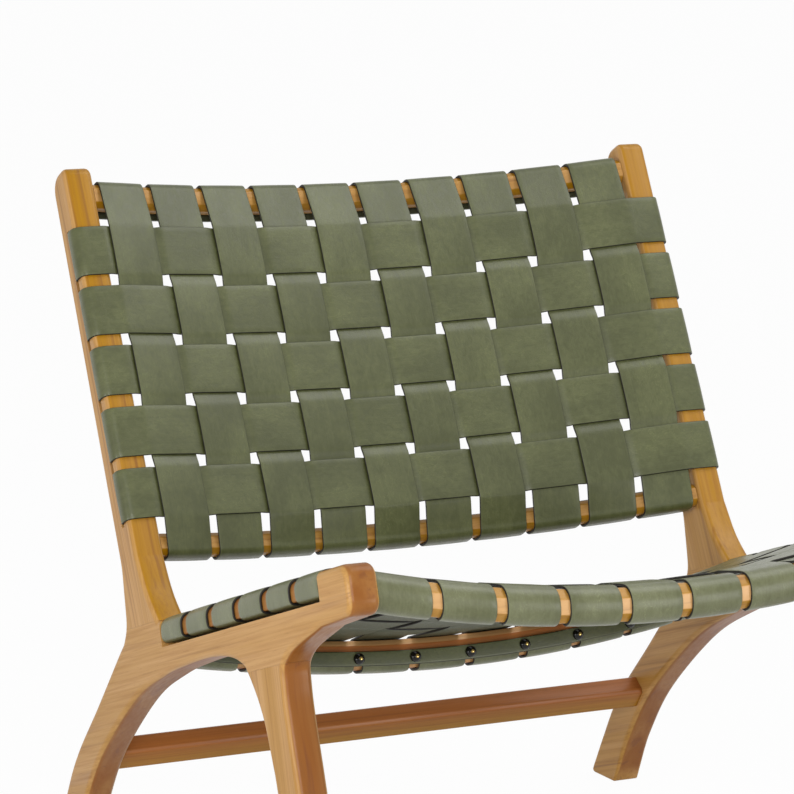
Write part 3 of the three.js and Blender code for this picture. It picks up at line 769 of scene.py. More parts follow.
# The last ring of a side face, in roundings from the outline, and how far the mark of that face reaches in
FACE_INSET = 1.06
FLANK_FADE = 0.0035

# Cutters stand this far out of the wood, or go right through it
CUT_MARGIN = 0.005
FAR = 1.0


def side_outline():
    """The side frame's outline on (y, z): smooth curves and arcs joined by straight runs.

    It goes counter-clockwise from the heel. Its points are given from the heel forward, from the toe
    back, along the plank and under its top, or along the post and behind its front.
    """
    rear_rail = SEAT.rails[1].outer
    low_rail = BACK.rails[0].outer

    def from_heel(run, height):
        return np.array([REAR_HEEL - run, height])

    def from_toe(run, height):
        return np.array([FRONT_TOE + run, height])

    def plank(v, under):
        return side_point(SEAT, v, PLANK_TOP - under)

    def post(v, depth):
        return side_point(BACK, v, -LAY - depth)

    low_rear = post(-low_rail, POST_LOW_DEPTH)
    low_front = post(-low_rail, 0.0)
    flare_tip = plank(rear_rail - 0.040, 0.0)
    flare_bend = 0.9 * (0.4 * low_front + 0.6 * flare_tip) + 0.1 * low_rear
    rear_edge = [
        from_heel(0.0, 0.0), from_heel(0.0305, 0.061), from_heel(0.061, 0.106),
        plank(rear_rail + 0.147, 0.0629), plank(rear_rail + 0.0743, 0.0209),
        plank(rear_rail + 0.056, 0.011),
    ]
    knee = np.stack([
        rear_edge[-1], plank(rear_rail + 0.0465, 0.0020), plank(rear_rail + 0.0425, -0.0048), low_rear,
        0.75 * low_rear + 0.25 * post(POST_TOP, POST_TOP_DEPTH),
    ])
    r = POST_TOP_REAR_ROUND
    top_rear = arc(POST_TOP - r, r - POST_TOP_DEPTH, r, 270, 360, 12)
    r = POST_TOP_ROUND
    top_front = arc(POST_TOP - r, -r, r, 0, 90, 8)
    post_top = np.concatenate([top_rear, top_front])
    horn_high = arc(HORN_ROUND - HORN_END, HORN_ROUND, HORN_ROUND, 270, 180, 8)
    horn_low = arc(HORN_ROUND - HORN_END, HORN_DEPTH - HORN_ROUND, HORN_ROUND, 180, 90, 8)
    horn = np.concatenate([horn_high, horn_low])
    front_face = [
        plank(0.070 - HORN_END, HORN_DEPTH + 0.002), plank(0.144 - HORN_END, 0.0637),
        from_toe(0.0965, 0.276), from_toe(0.068, 0.196),
    ]
    arch = [
        from_toe(0.120, 0.196), from_toe(0.145, 0.243), plank(0.004, 0.0690), plank(0.018, 0.0580),
        plank(0.045, 0.0500), plank(0.088, 0.0463), plank(0.147, 0.0474), plank(0.205, 0.0520),
        from_heel(0.212, 0.1893), from_heel(0.126, 0.117), from_heel(0.080, 0.057),
        from_heel(REAR_FOOT, 0.0),
    ]
    return np.concatenate([
        np.delete(smooth_curve(rear_edge, 16), [1, 2, 3], axis=0),
        soften(even_path(knee, 0.004), 4),
        np.array(panel_points(BACK, 0.0, post_top[:, 0], -LAY + post_top[:, 1])[:, 1:]),
        smooth_curve([low_front, flare_bend, flare_tip], 14),
        np.array(panel_points(SEAT, 0.0, horn[:, 0], PLANK_TOP - horn[:, 1])[:, 1:]),
        smooth_curve(front_face, 18),
        [from_toe(0.0, 0.0), from_toe(FRONT_FOOT, 0.0)],
        smooth_curve(arch, 14),
    ])


def ease_corners(outline, steps=9):
    """An outline whose corners become quadratic curves, longer at those past a right angle."""
    after = np.roll(outline, -1, axis=0) - outline
    size = np.linalg.norm(after, axis=1, keepdims=True)
    after = after / size
    before = np.roll(after, 1, axis=0)
    turn = np.sum(before * after, axis=1)
    reach = np.where(turn < 0.0, LONG_EASE, EASE)[:, None]
    near = np.minimum(reach, 0.45 * np.minimum(size, np.roll(size, 1, axis=0)))
    sharp = turn < math.cos(CORNER)
    t = np.linspace(0.0, 1.0, steps)[None, :, None]
    corner = outline[:, None]
    start, stop = corner - (near * before)[:, None], corner + (near * after)[:, None]
    curve = (1 - t) ** 2 * start + 2 * t * (1 - t) * corner + t**2 * stop
    return unlike(np.where(sharp[:, None, None], curve, corner).reshape(-1, 2))


def unlike(outline):
    """An outline without points that repeat the one before."""
    return outline[np.linalg.norm(outline - np.roll(outline, 1, axis=0), axis=1) > 1e-5]


def side_slab(name, side, chair):
    """A side frame as one slab: rings of its outline, with rounded edges.

    At an edge of rounding r a ring moves in by r (1 - sin t) and across by r (1 - cos t). The rounding
    changes along the outline: planks and legs, posts, horn and arch each have their own, and it fades
    towards the floor.
    """
    timber = chair.timber
    outline = ease_corners(unlike(side_outline()))
    edge = np.roll(outline, -1, axis=0) - outline
    edge /= np.linalg.norm(edge, axis=1, keepdims=True)
    out = np.stack([edge[:, 1], -edge[:, 0]], axis=-1)
    before = np.roll(out, 1, axis=0)
    inward = -(out + before) / (1.0 + np.sum(out * before, axis=1, keepdims=True))
    y, z = outline[:, 0] - SEAT.centre_y, outline[:, 1] - SEAT.centre_z
    along, over = y * SEAT.along_y + z * SEAT.along_z, z * SEAT.along_y - y * SEAT.along_z
    r = np.interp(over, POST_FOOT_OVER, [timber.plank_round, timber.post_round])
    horn = np.interp(along, HORN_ALONG, [1.0, 0.0]) * np.interp(over, HORN_OVER, [0.0, 1.0])
    r = r + (timber.horn_round - r) * horn
    arch = np.interp(along, ARCH_ALONG, [0.0, 1.0, 1.0, 0.0]) * (over < ARCH_OVER)
    r = r + (timber.arch_round - r) * arch
    r = np.minimum(r, np.interp(outline[:, 1], FOOT_HEIGHT, [timber.foot_round, timber.plank_round]))
    t = np.radians(np.linspace(0.0, 90.0, 8))
    inset = np.concatenate([[FACE_INSET], 1.0 - np.sin(t)])
    inset = np.concatenate([inset, inset[::-1]])
    low_share = np.concatenate([[0.0], 1.0 - np.cos(t)])
    near = timber.inner if side > 0 else -timber.inner - timber.thickness
    left = near + r[None, :] * low_share[:, None]
    right = near + timber.thickness - r[None, :] * low_share[::-1, None]
    x = np.concatenate([left, right])
    place = outline[None] + inward[None] * (r[None, :, None] * inset[:, None, None])
    return sweep(name, np.concatenate([x[..., None], place], axis=-1))


def mark_flanks(piece, chair):
    """Marks for a finished side timber: one on its side faces, falling to zero a little way in from them."""
    places = np.empty(len(piece.data.vertices) * 3, np.float32)
    piece.data.vertices.foreach_get("co", places)
    across = np.abs(places[::3]) - chair.timber.inner
    depth = np.minimum(across, chair.timber.thickness - across)
    mark(piece, "flank", np.clip(1.0 - depth / FLANK_FADE, 0.0, 1.0))


def plank_channel(side, chair):
    """The strap channel: a section that goes over, beside and under the batten, carried along the plank."""
    batten = SEAT.batten
    inner = chair.timber.inner - CUT_MARGIN
    outer = chair.timber.inner + chair.timber.thickness + CUT_MARGIN
    over = PLANK_TOP + CUT_MARGIN
    under = -LAY - batten.depth
    bend = max(batten.tuck - LAY, CHANNEL_LEAST_BEND)
    section = np.concatenate([
        [[inner, batten.rise - LAY]],
        arc(batten.side - batten.round, batten.rise - LAY - batten.round, batten.round, 90, 0, 6),
        arc(batten.side - bend, under + bend, bend, 0, -90, 4),
        [[inner, under], [inner, under - SLOT_WIDTH], [outer, under - SLOT_WIDTH]],
        [[outer, over], [inner, over]],
    ])
    room = chair.straps.width / 2 + CHANNEL_END_ROOM
    v = np.array([SEAT.rows[0] - room, SEAT.rows[-1] + room])[:, None]
    return sweep("channel", panel_points(SEAT, side * section[None, :, 0], v, section[None, :, 1]))


def side_span(side, chair):
    """X from just inside to just outside a side frame."""
    near = chair.timber.inner - 2 * CUT_MARGIN
    far = chair.timber.inner + chair.timber.thickness + 2 * CUT_MARGIN
    return (near, far) if side > 0 else (-far, -near)


SIDES = ((-1, "left"), (1, "right"))


def side_plank(side, label, material, chair):
    """A side plank: the slab under the post line, less the front leg's corner and the strap channel."""
    gap = chair.timber.joint_gap / 2
    span = side_span(side, chair)
    piece = side_slab(f"shaped_{label}_side_plank", side, chair)
    carve(piece, block("above", SEAT, span, (POST_SPLIT, FAR), (PLANK_TOP - gap, FAR)))
    carve(piece, block("leg", SEAT, span, (-FAR, LEG_SPLIT), (-FAR, PLANK_UNDER + gap)))
    carve(piece, plank_channel(side, chair))
    mark_flanks(piece, chair)
    return finish_piece(piece, material, [f"{label}_side_plank"])


def back_post(side, label, material, chair):
    """A back post: the slab over the post line, with the long slot that the cross straps turn into."""
    gap = chair.timber.joint_gap / 2
    span = side_span(side, chair)
    piece = side_slab(f"shaped_{label}_back_post", side, chair)
    carve(piece, block("below", SEAT, span, (-FAR, FAR), (-FAR, PLANK_TOP + gap)))
    front = -LAY - BACK.batten.depth
    half = (BACK.rows[-1] - BACK.rows[0] + chair.straps.width) / 2 + SLOT_END_ROOM
    carve(piece, block("slot", BACK, span, (-half, half), (front - SLOT_WIDTH, front)))
    mark_flanks(piece, chair)
    return finish_piece(piece, material, [f"{label}_back_post"])


def front_leg(side, label, material, chair):
    """A front leg: the corner of the slab that lies under the plank."""
    gap = chair.timber.joint_gap / 2
    span = side_span(side, chair)
    piece = side_slab(f"shaped_{label}_front_leg", side, chair)
    under = block("under", SEAT, span, (-FAR, LEG_SPLIT), (-FAR, PLANK_UNDER - gap))
    carve(piece, under, "INTERSECT")
    mark_flanks(piece, chair)
    return finish_piece(piece, material, [f"{label}_front_leg"])


# Materials

class Shader:
    """A material under construction: adds nodes and links them in a plain way."""

    def __init__(self, name):
        self.material = bpy.data.materials.new(name)
        self.material.use_nodes = True
        self.tree = self.material.node_tree
        self.tree.nodes.clear()
        self.surface = self.add("ShaderNodeBsdfPrincipled")
        output = self.add("ShaderNodeOutputMaterial")
        self.link(self.surface.outputs["BSDF"], output.inputs["Surface"])

    def add(self, kind, **settings):
        """A new node with its settings."""
        node = self.tree.nodes.new(kind)
        for key, value in settings.items():
            setattr(node, key, value)
        return node

    def link(self, source, target):
        """Join an output to an input."""
        self.tree.links.new(source, target)

    def feed(self, socket, value):
        """Link a socket, or set a plain value on it."""
        if isinstance(value, bpy.types.NodeSocket):
            self.link(value, socket)
        elif socket.type == "RGBA" and len(value) == 3:
            socket.default_value = (*value, 1.0)
        else:
            socket.default_value = value

    def polish(self, specular, coat, coat_roughness):
        """Plain values for the gloss and for the clear coat over it."""
        self.surface.inputs["Specular IOR Level"].default_value = specular
        self.surface.inputs["Coat Weight"].default_value = coat
        self.surface.inputs["Coat Roughness"].default_value = coat_roughness

    def paint(self, colour_now, roughness):
        """Link the finished colour and roughness."""
        self.link(colour_now, self.surface.inputs["Base Color"])
        self.link(roughness, self.surface.inputs["Roughness"])

    def moved(self, vector, turn=(0.0, 0.0, 0.0), scale=(1.0, 1.0, 1.0), shift=(0.0, 0.0, 0.0)):
        """Coordinates scaled, turned and shifted."""
        node = self.add("ShaderNodeMapping")
        self.link(vector, node.inputs["Vector"])
        node.inputs["Rotation"].default_value = turn
        node.inputs["Scale"].default_value = scale
        node.inputs["Location"].default_value = shift
        return node.outputs["Vector"]

    def noise(self, vector, scale, detail=3.0, rough=0.5, distortion=0.0):
        """A cloudy value between zero and one."""
        node = self.add("ShaderNodeTexNoise")
        self.link(vector, node.inputs["Vector"])
        node.inputs["Scale"].default_value = scale
        node.inputs["Detail"].default_value = detail
        node.inputs["Roughness"].default_value = rough
        node.inputs["Distortion"].default_value = distortion
        return node.outputs["Fac"]

    def spread(self, value, low, high, to_low=0.0, to_high=1.0):
        """Map a value from one range to another, kept inside it, with a smooth step."""
        node = self.add("ShaderNodeMapRange", interpolation_type="SMOOTHSTEP")
        self.feed(node.inputs["Value"], value)
        for key, number in (("From Min", low), ("From Max", high), ("To Min", to_low), ("To Max", to_high)):
            node.inputs[key].default_value = number
        return node.outputs["Result"]

    def math(self, a, operation, b=0.0):
        """One step of arithmetic."""
        node = self.add("ShaderNodeMath", operation=operation)
        self.feed(node.inputs[0], a)
        self.feed(node.inputs[1], b)
        return node.outputs["Value"]

    def blend(self, share, a, b):
        """A colour between two, by a share of the second."""
        node = self.add("ShaderNodeMix", data_type="RGBA")
        self.feed(node.inputs["Factor"], share)
        self.feed(node.inputs["A"], a)
        self.feed(node.inputs["B"], b)
        return node.outputs["Result"]

    def relief(self, height, strength, distance, under=None):
        """A normal that follows a height, over another normal."""
        node = self.add("ShaderNodeBump")
        self.feed(node.inputs["Height"], height)
        node.inputs["Strength"].default_value = strength
        node.inputs["Distance"].default_value = distance
        if under is not None:
            self.link(under, node.inputs["Normal"])
        return node.outputs["Normal"]


def leather_material(name, finish, grain, pale):
    """Olive leather: cloudy tone, fine grain, scuffs, dark painted edges widened by painted shade, and a
    fibrous flesh side.
    """
    shader = Shader(name)
    place = shader.add("ShaderNodeAttribute", attribute_name="strap").outputs["Vector"]
    edge = shader.add("ShaderNodeAttribute", attribute_name="edge").outputs["Fac"]
    flesh = shader.add("ShaderNodeAttribute", attribute_name="flesh").outputs["Fac"]

    clouds = shader.noise(shader.moved(place, scale=(14.0, 22.0, 1.0)), 1.0, 3.0, 0.55)
    mottle = shader.noise(shader.moved(place, scale=(150.0, 210.0, 1.0)), 1.0, 4.0, 0.6, 0.6)
    brushed = shader.noise(shader.moved(place, scale=(18.0, 700.0, 1.0)), 1.0, 3.0, 0.6)
    fibres = shader.noise(shader.moved(place, scale=(420.0, 420.0, 1.0)), 1.0, 5.0, 0.7)
    creased = shader.moved(place, turn=(0.0, 0.0, 0.6), scale=(75.0, 130.0, 1.0))
    folds = shader.noise(creased, 1.0, 3.0, 0.6, 1.4)
    pebble = shader.add("ShaderNodeTexVoronoi", feature="DISTANCE_TO_EDGE")
    shader.link(shader.moved(place, scale=(820.0, 900.0, 1.0)), pebble.inputs["Vector"])
    pebble.inputs["Scale"].default_value = 1.0

    tone = shader.math(shader.math(clouds, "MULTIPLY", 0.55), "ADD", shader.math(mottle, "MULTIPLY", 0.32))
    tone = shader.math(tone, "ADD", shader.math(brushed, "MULTIPLY", 0.13))
    grain_side = shader.blend(shader.spread(tone, 0.36, 0.66), grain, pale)
    away = shader.math(shader.math(folds, "SUBTRACT", 0.5), "ABSOLUTE")
    line, patch = shader.spread(away, 0.0, 0.022, 1.0, 0.0), shader.spread(clouds, 0.48, 0.62)
    scuffs = shader.math(shader.math(line, "MULTIPLY", patch), "MULTIPLY", 0.34)
    grain_side = shader.blend(scuffs, grain_side, [c * 1.8 for c in pale])
    dark_flesh = [c * 0.7 for c in finish.leather_flesh]
    flesh_side = shader.blend(shader.spread(fibres, 0.3, 0.7), finish.leather_flesh, dark_flesh)
    # The dark edge covers most of the rounding: edge dye widened as painted shade along the strap's edge
    painted = shader.spread(edge, 0.15, 0.75)
    colour_now = shader.blend(painted, shader.blend(flesh, grain_side, flesh_side), finish.leather_edge)

    gloss = shader.spread(mottle, 0.3, 0.7, 0.33, 0.46)
    dry = shader.math(shader.math(flesh, "MAXIMUM", painted), "MULTIPLY", 0.35)
    shader.paint(colour_now, shader.math(gloss, "ADD", dry))
    shader.polish(0.352, 0.22, 0.26)

    pores = shader.relief(shader.spread(pebble.outputs["Distance"], 0.0, 0.16), 0.22, 0.0002)
    skin = shader.relief(mottle, 0.46, 0.0005, pores)
    shader.link(shader.relief(clouds, 0.25, 0.0012, skin), shader.surface.inputs["Normal"])
    return shader.material


# A kind of timber: the turn and shift of its grain, its pale tone, its share of gold, the strength of its
# dark fibres, and the tone of its rims with the span of the flank mark over which that tone gives way.
# For several kinds the pale and the rim tones are painted light and shade, as marked in wood()
Timber = namedtuple("Timber", "turn shift pale gold_share brown rim rim_span")


def wood_material(name, finish, timber):
    """Lacquered timber: bands, fibres, streaks and pores along the grain, and another tone on the rims,
    painted light and shade on some kinds.
    """
    shader = Shader(name)
    place = shader.add("ShaderNodeTexCoord").outputs["Object"]
    flank = shader.add("ShaderNodeAttribute", attribute_name="flank").outputs["Fac"]
    grain = shader.moved(place, turn=timber.turn, shift=timber.shift)
    bands = shader.noise(shader.moved(grain, scale=(34.0, 1.6, 34.0)), 1.0, 3.0, 0.5, 0.5)
    fibres = shader.noise(shader.moved(grain, scale=(330.0, 7.0, 330.0)), 1.0, 5.0, 0.62)
    streaks = shader.noise(shader.moved(grain, scale=(95.0, 2.2, 95.0)), 1.0, 2.0, 0.5, 0.9)
    pores = shader.noise(shader.moved(grain, scale=(1500.0, 70.0, 1500.0)), 1.0, 2.0, 0.5)

    share = shader.spread(bands, 0.30, 0.70, timber.gold_share - 0.3, timber.gold_share + 0.3)
    face_tone = shader.blend(share, timber.pale, finish.wood_gold)
    # The rim tone covers the rounded edges and the faces other than the flanks: painted shade on planks and
    # legs, painted light on the rear rail and the stretcher
    rim_tone = shader.blend(shader.spread(bands, 0.3, 0.7, 0.0, 0.3), timber.rim, timber.pale)
    colour_now = shader.blend(shader.spread(flank, *timber.rim_span), rim_tone, face_tone)
    for share, dark in (
        (shader.spread(fibres, 0.36, 0.74, 0.0, timber.brown), finish.wood_brown),
        (shader.spread(streaks, 0.56, 0.72, 0.0, 0.42), finish.wood_streak),
        (shader.spread(pores, 0.64, 0.74, 0.0, 0.30), finish.wood_brown),
    ):
        colour_now = shader.blend(share, colour_now, dark)
    shader.paint(colour_now, shader.spread(fibres, 0.3, 0.7, 0.36, 0.48))
    shader.polish(0.12, 0.22, 0.22)
    under = shader.relief(pores, 0.10, 0.00015)
    shader.link(shader.relief(fibres, 0.10, 0.0002, under), shader.surface.inputs["Normal"])
    return shader.material


def tack_material(finish):
    """Blackened domes: a gloss coat over black, with brass on the crown as a painted warm reflection."""
    shader = Shader("blackened_tack")
    place = shader.add("ShaderNodeTexCoord").outputs["Object"]
    crown = shader.add("ShaderNodeAttribute", attribute_name="crown").outputs["Fac"]
    clouds = shader.noise(place, 520.0, 3.0, 0.5)
    height = shader.math(crown, "ADD", shader.math(clouds, "MULTIPLY", 0.12))
    # Brass patch on the crown: a painted reflection, made metallic so that it shines
    painted_glint = shader.spread(height, 0.99, 1.04)
    colour_now = shader.blend(painted_glint, finish.tack, finish.tack_worn)
    shader.paint(colour_now, shader.spread(clouds, 0.3, 0.7, 0.08, 0.16))
    shader.link(shader.math(painted_glint, "MULTIPLY", 0.7), shader.surface.inputs["Metallic"])
    shader.polish(0.25, 0.15, 0.04)
    return shader.material


def kept_material(name, make):
    """A finish is made once and used by all its pieces."""
    return bpy.data.materials.get(name) or make()


def leather(chair, panel=None):
    """The leather of a panel's straps, paler on the seat as painted sheen, or of the cover strips."""
    finish = chair.finish
    # The seat's paler, greyer leather is painted sheen
    if panel is SEAT:
        name, tones = "olive_seat_leather", (finish.leather_seat, finish.leather_seat_pale)
    else:
        name, tones = "olive_back_leather", (finish.leather, finish.leather_pale)
    return kept_material(name, lambda: leather_material(name, finish, *tones))


def wood(kind, chair):
    """The timber of a kind of piece, with its grain along the piece, and painted light and shade in the
    tones of some kinds.
    """
    finish = chair.finish
    tan, gold, pale = finish.wood_tan, finish.wood_gold, finish.wood_pale
    red, rim = finish.wood_red, finish.wood_rim
    rise, recline = (RISE, 0.0, 0.0), (RECLINE - math.pi / 2, 0.0, 0.0)
    splay, across = (math.radians(-74.0), 0.0, 0.0), (0.0, 0.0, math.pi / 2)
    kinds = {
        # Plank: its rim tone is painted shade on the front and under faces
        "plank": Timber(rise, (0.3, 0.0, 0.1), tan, 0.22, 0.34, rim, (0.0, 0.45)),
        "post": Timber(recline, (1.3, 0.4, 0.7), tan, 0.18, 0.34, gold, (0.1, 0.5)),
        # Leg: its rim tone is painted shade on the front and under faces
        "leg": Timber(splay, (2.1, 0.9, 1.7), tan, 0.30, 0.42, rim, (0.0, 0.5)),
        "back_rail": Timber(across, (3.7, 0.2, 2.3), tan, 0.30, 0.28, gold, (0.2, 0.8)),
        # Front rail: its pale tone is a painted lit copy of the tan
        "front_rail": Timber(across, (3.7, 0.2, 2.3), pale, -0.20, 0.06, gold, (0.2, 0.8)),
        # Rear rail: its red face is painted shade under the seat, its pale chamfers painted light
        "rear_rail": Timber(across, (4.4, 0.7, 1.3), red, -0.10, 0.28, pale, (0.1, 0.7)),
        # Stretcher: its red upper half is painted shade under the seat, its gold lower half painted light
        "stretcher": Timber(across, (5.1, 1.2, 0.4), red, -0.10, 0.52, gold, (0.0, 1.0)),
    }
    name = f"golden_wood_{kind}"
    return kept_material(name, lambda: wood_material(name, finish, kinds[kind]))


# Operators

class CHAIR_OT_side_planks(bpy.types.Operator):
    """Build the two side planks that bend down into the rear legs"""

    bl_idname = "chair.side_planks"
    bl_label = "Side Planks"
    bl_options = {"REGISTER", "UNDO"}

    def execute(self, context):
        chair = context.scene.lounge_chair
        for side, label in SIDES:
            side_plank(side, label, wood("plank", chair), chair)
        return {"FINISHED"}


class CHAIR_OT_back_posts(bpy.types.Operator):
    """Build the two slotted back posts"""

    bl_idname = "chair.back_posts"
    bl_label = "Back Posts"
    bl_options = {"REGISTER", "UNDO"}

    def execute(self, context):
        chair = context.scene.lounge_chair
        for side, label in SIDES:
            back_post(side, label, wood("post", chair), chair)
        return {"FINISHED"}


class CHAIR_OT_front_legs(bpy.types.Operator):
    """Build the two front legs"""

    bl_idname = "chair.front_legs"
    bl_label = "Front Legs"
    bl_options = {"REGISTER", "UNDO"}

    def execute(self, context):
        chair = context.scene.lounge_chair
        for side, label in SIDES:
            front_leg(side, label, wood("leg", chair), chair)
        return {"FINISHED"}


class CHAIR_OT_rails(bpy.types.Operator):
    """Build the four bowed rails"""

    bl_idname = "chair.rails"
    bl_label = "Bowed Rails"
    bl_options = {"REGISTER", "UNDO"}

    def execute(self, context):
        chair = context.scene.lounge_chair
        for panel in (BACK, SEAT):
            for rail in panel.rails:
                kind = "back_rail" if panel is BACK else rail.name.replace("seat_", "")
                bowed_rail(panel, rail, wood(kind, chair), chair)
        return {"FINISHED"}


class CHAIR_OT_stretcher(bpy.types.Operator):
    """Build the stretcher between the rear legs"""

    bl_idname = "chair.stretcher"
    bl_label = "Stretcher"
    bl_options = {"REGISTER", "UNDO"}

    def execute(self, context):
        chair = context.scene.lounge_chair
        stretcher_bar(wood("stretcher", chair), chair)
        return {"FINISHED"}


class CHAIR_OT_long_straps(bpy.types.Operator):
    """Build the long straps of the back and of the seat"""

    bl_idname = "chair.long_straps"
    bl_label = "Long Straps"
    bl_options = {"REGISTER", "UNDO"}

    def execute(self, context):
        chair = context.scene.lounge_chair
        chance = np.random.default_rng(11)
        for panel in (BACK, SEAT):
            for column in range(chair.straps.count):
                long_strap(panel, column, leather(chair, panel), chair, chance)
        return {"FINISHED"}


class CHAIR_OT_cross_straps(bpy.types.Operator):
    """Build the cross straps of the back and of the seat"""

    bl_idname = "chair.cross_straps"
    bl_label = "Cross Straps"
    bl_options = {"REGISTER", "UNDO"}

    def execute(self, context):
        chair = context.scene.lounge_chair
        chance = np.random.default_rng(23)
        for panel in (BACK, SEAT):
            for row in range(len(panel.rows)):
                cross_strap(panel, row, leather(chair, panel), chair, chance)
        return {"FINISHED"}


class CHAIR_OT_cover_strips(bpy.types.Operator):
    """Build the cover strips over the strap ends"""

    bl_idname = "chair.cover_strips"
    bl_label = "Cover Strips"
    bl_options = {"REGISTER", "UNDO"}

    def execute(self, context):
        chair = context.scene.lounge_chair
        chance = np.random.default_rng(37)
        for panel in (BACK, SEAT):
            for rail in panel.rails:
                cover_strip(panel, rail, leather(chair), chair, chance)
        return {"FINISHED"}


class CHAIR_OT_tacks(bpy.types.Operator):
    """Build the dome tacks on the cover strips"""

    bl_idname = "chair.tacks"
    bl_label = "Tacks"
    bl_options = {"REGISTER", "UNDO"}

    def execute(self, context):
        chair = context.scene.lounge_chair
        material = kept_material("blackened_tack", lambda: tack_material(chair.finish))
        for panel in (BACK, SEAT):
            for rail in panel.rails:
                tack_row(panel, rail, material, chair)
        return {"FINISHED"}


# Stage

# The camera: its place, its turn about Z, its drop below level, its lens and its sensor
CAMERA_PLACE = (-1.5585, -2.98443, 1.0172)
CAMERA_AZIMUTH = math.radians(25.9)
CAMERA_DROP = math.radians(9.1)
CAMERA_LENS = 164.95
CAMERA_SENSOR = 36.0

# The floor ends far behind the picture and lies a hair under the feet
FLOOR_REACH = 45.0
FLOOR_LEVEL = -0.0004

# A lamp: its place, the point that it faces, its width and the setting that holds its power
Lamp = namedtuple("Lamp", "name place target size setting")
LAMPS = (
    Lamp("side_lamp", (-2.6, -0.7, 0.47), (0.0, 0.0, 0.30), 0.9, "side_power"),
    Lamp("front_lamp", (-1.5, -2.7, 1.55), (0.0, -0.1, 0.35), 1.4, "front_power"),
    Lamp("low_lamp", (1.3, -2.45, 0.42), (0.0, -0.25, 0.33), 0.7, "low_power"),
    Lamp("top_lamp", (1.2, -0.3, 2.5), (0.0, 0.1, 0.4), 1.4, "top_power"),
)


def seen_share(tree):
    """One for rays that show the background: camera, mirror and glass rays."""
    path = tree.nodes.new("ShaderNodeLightPath")
    shown = path.outputs["Is Camera Ray"]
    for name in ("Is Glossy Ray", "Is Transmission Ray"):
        larger = tree.nodes.new("ShaderNodeMath")
        larger.operation = "MAXIMUM"
        tree.links.new(shown, larger.inputs[0])
        tree.links.new(path.outputs[name], larger.inputs[1])
        shown = larger.outputs[0]
    return shown


def floor_material(stage):
    """A pale matt floor that shows mostly as plain white and keeps a soft shadow."""
    material = bpy.data.materials.new("pale_floor")
    material.use_nodes = True
    tree = material.node_tree
    tree.nodes.clear()
    matt = tree.nodes.new("ShaderNodeBsdfDiffuse")
    matt.inputs["Color"].default_value = (*stage.floor, 1.0)
    glow = tree.nodes.new("ShaderNodeEmission")
    glow.inputs["Strength"].default_value = 1.0
    share = tree.nodes.new("ShaderNodeMath")
    share.operation = "MULTIPLY"
    share.inputs[1].default_value = stage.floor_glow
    tree.links.new(seen_share(tree), share.inputs[0])
    mix = tree.nodes.new("ShaderNodeMixShader")
    tree.links.new(share.outputs[0], mix.inputs[0])
    tree.links.new(matt.outputs[0], mix.inputs[1])
    tree.links.new(glow.outputs[0], mix.inputs[2])
    output = tree.nodes.new("ShaderNodeOutputMaterial")
    tree.links.new(mix.outputs[0], output.inputs["Surface"])
    return material


def light_room(scene, stage):
    """A white room: plain white where it is seen, and of the set strength where it lights the chair."""
    world = bpy.data.worlds.new("white_room")
    world.use_nodes = True
    tree = world.node_tree
    background = tree.nodes["Background"]
    background.inputs["Color"].default_value = (1.0, 1.0, 1.0, 1.0)
    strength = tree.nodes.new("ShaderNodeMapRange")
    strength.inputs["To Min"].default_value = stage.world_strength
    strength.inputs["To Max"].default_value = 1.0
    tree.links.new(seen_share(tree), strength.inputs["Value"])
    tree.links.new(strength.outputs["Result"], background.inputs["Strength"])
    scene.world = world


def lay_floor(scene, stage):
    """A round floor: circles of growing radius about the middle, on one level."""
    turn = np.linspace(0.0, 2 * np.pi, 65)[None, :]
    reach = np.linspace(0.0, FLOOR_REACH, 16)[:, None]
    x, y, z = np.broadcast_arrays(reach * np.cos(turn), reach * np.sin(turn), FLOOR_LEVEL)
    index = np.arange(x.size).reshape(x.shape)
    corners = [index[:-1, :-1], index[1:, :-1], index[1:, 1:], index[:-1, 1:]]
    quads = np.stack(corners, axis=-1).reshape(-1, 4)
    mesh = bpy.data.meshes.new("floor")
    mesh.from_pydata(np.stack([x, y, z], axis=-1).reshape(-1, 3).tolist(), [], quads.tolist())
    mesh.materials.append(floor_material(stage))
    floor = bpy.data.objects.new("floor", mesh)
    scene.collection.objects.link(floor)


def add_lamp(scene, lamp, watts):
    """A square soft lamp that faces a point."""
    data = bpy.data.lights.new(lamp.name, "AREA")
    data.shape = "SQUARE"
    data.size = lamp.size
    data.energy = watts
    light = bpy.data.objects.new(lamp.name, data)
    light.location = lamp.place
    facing = Vector(lamp.target) - Vector(lamp.place)
    light.rotation_euler = facing.to_track_quat("-Z", "Y").to_euler()
    scene.collection.objects.link(light)


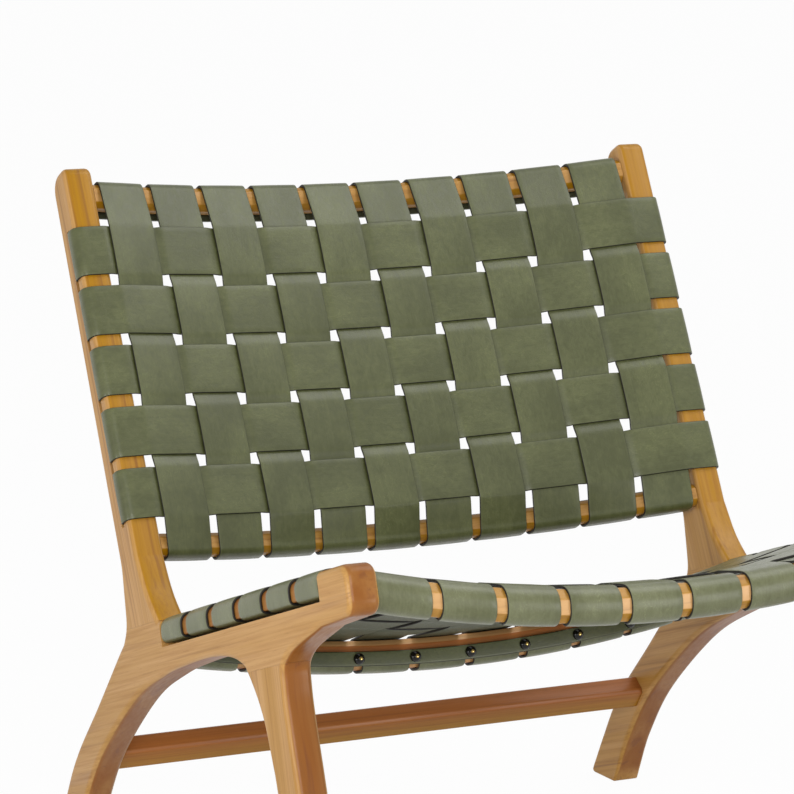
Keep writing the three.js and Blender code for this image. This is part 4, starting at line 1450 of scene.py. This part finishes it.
def place_camera(scene):
    """The camera as it was solved from the photograph."""
    data = bpy.data.cameras.new("camera")
    data.sensor_fit = "HORIZONTAL"
    data.sensor_width = CAMERA_SENSOR
    data.lens = CAMERA_LENS
    camera = bpy.data.objects.new("camera", data)
    camera.location = CAMERA_PLACE
    camera.rotation_euler = (math.pi / 2 - CAMERA_DROP, 0.0, -CAMERA_AZIMUTH)
    scene.collection.objects.link(camera)
    scene.camera = camera


class CHAIR_OT_stage(bpy.types.Operator):
    """Set up the floor, the lamps and the camera"""

    bl_idname = "chair.stage"
    bl_label = "Stage"
    bl_options = {"REGISTER", "UNDO"}

    def execute(self, context):
        scene = context.scene
        stage = scene.lounge_chair.stage
        scene.view_settings.view_transform = "Standard"
        lay_floor(scene, stage)
        light_room(scene, stage)
        for lamp in LAMPS:
            add_lamp(scene, lamp, getattr(stage, lamp.setting))
        place_camera(scene)
        return {"FINISHED"}


BUILDERS = (
    CHAIR_OT_side_planks,
    CHAIR_OT_back_posts,
    CHAIR_OT_front_legs,
    CHAIR_OT_rails,
    CHAIR_OT_stretcher,
    CHAIR_OT_long_straps,
    CHAIR_OT_cross_straps,
    CHAIR_OT_cover_strips,
    CHAIR_OT_tacks,
    CHAIR_OT_stage,
)


class CHAIR_PT_panel(bpy.types.Panel):
    """Lists the builders of the chair and its settings"""

    bl_idname = "CHAIR_PT_panel"
    bl_label = "Woven Lounge Chair"
    bl_space_type = "VIEW_3D"
    bl_region_type = "UI"
    bl_category = "Chair"

    def draw(self, context):
        chair = context.scene.lounge_chair
        for builder in BUILDERS:
            self.layout.operator(builder.bl_idname)
        for group in (chair.straps, chair.timber, chair.finish, chair.stage):
            box = self.layout.box()
            for key in group.__annotations__:
                box.prop(group, key)


CLASSES = (
    StrapSettings,
    FrameSettings,
    FinishSettings,
    StageSettings,
    ChairSettings,
    *BUILDERS,
    CHAIR_PT_panel,
)


def register():
    for cls in CLASSES:
        bpy.utils.register_class(cls)
    bpy.types.Scene.lounge_chair = PointerProperty(type=ChairSettings)


def unregister():
    del bpy.types.Scene.lounge_chair
    for cls in reversed(CLASSES):
        bpy.utils.unregister_class(cls)


def main():
    """Build the chair and its stage."""
    register()
    for builder in BUILDERS:
        group, name = builder.bl_idname.split(".")
        getattr(getattr(bpy.ops, group), name)()


if __name__ == "__main__":
    main()
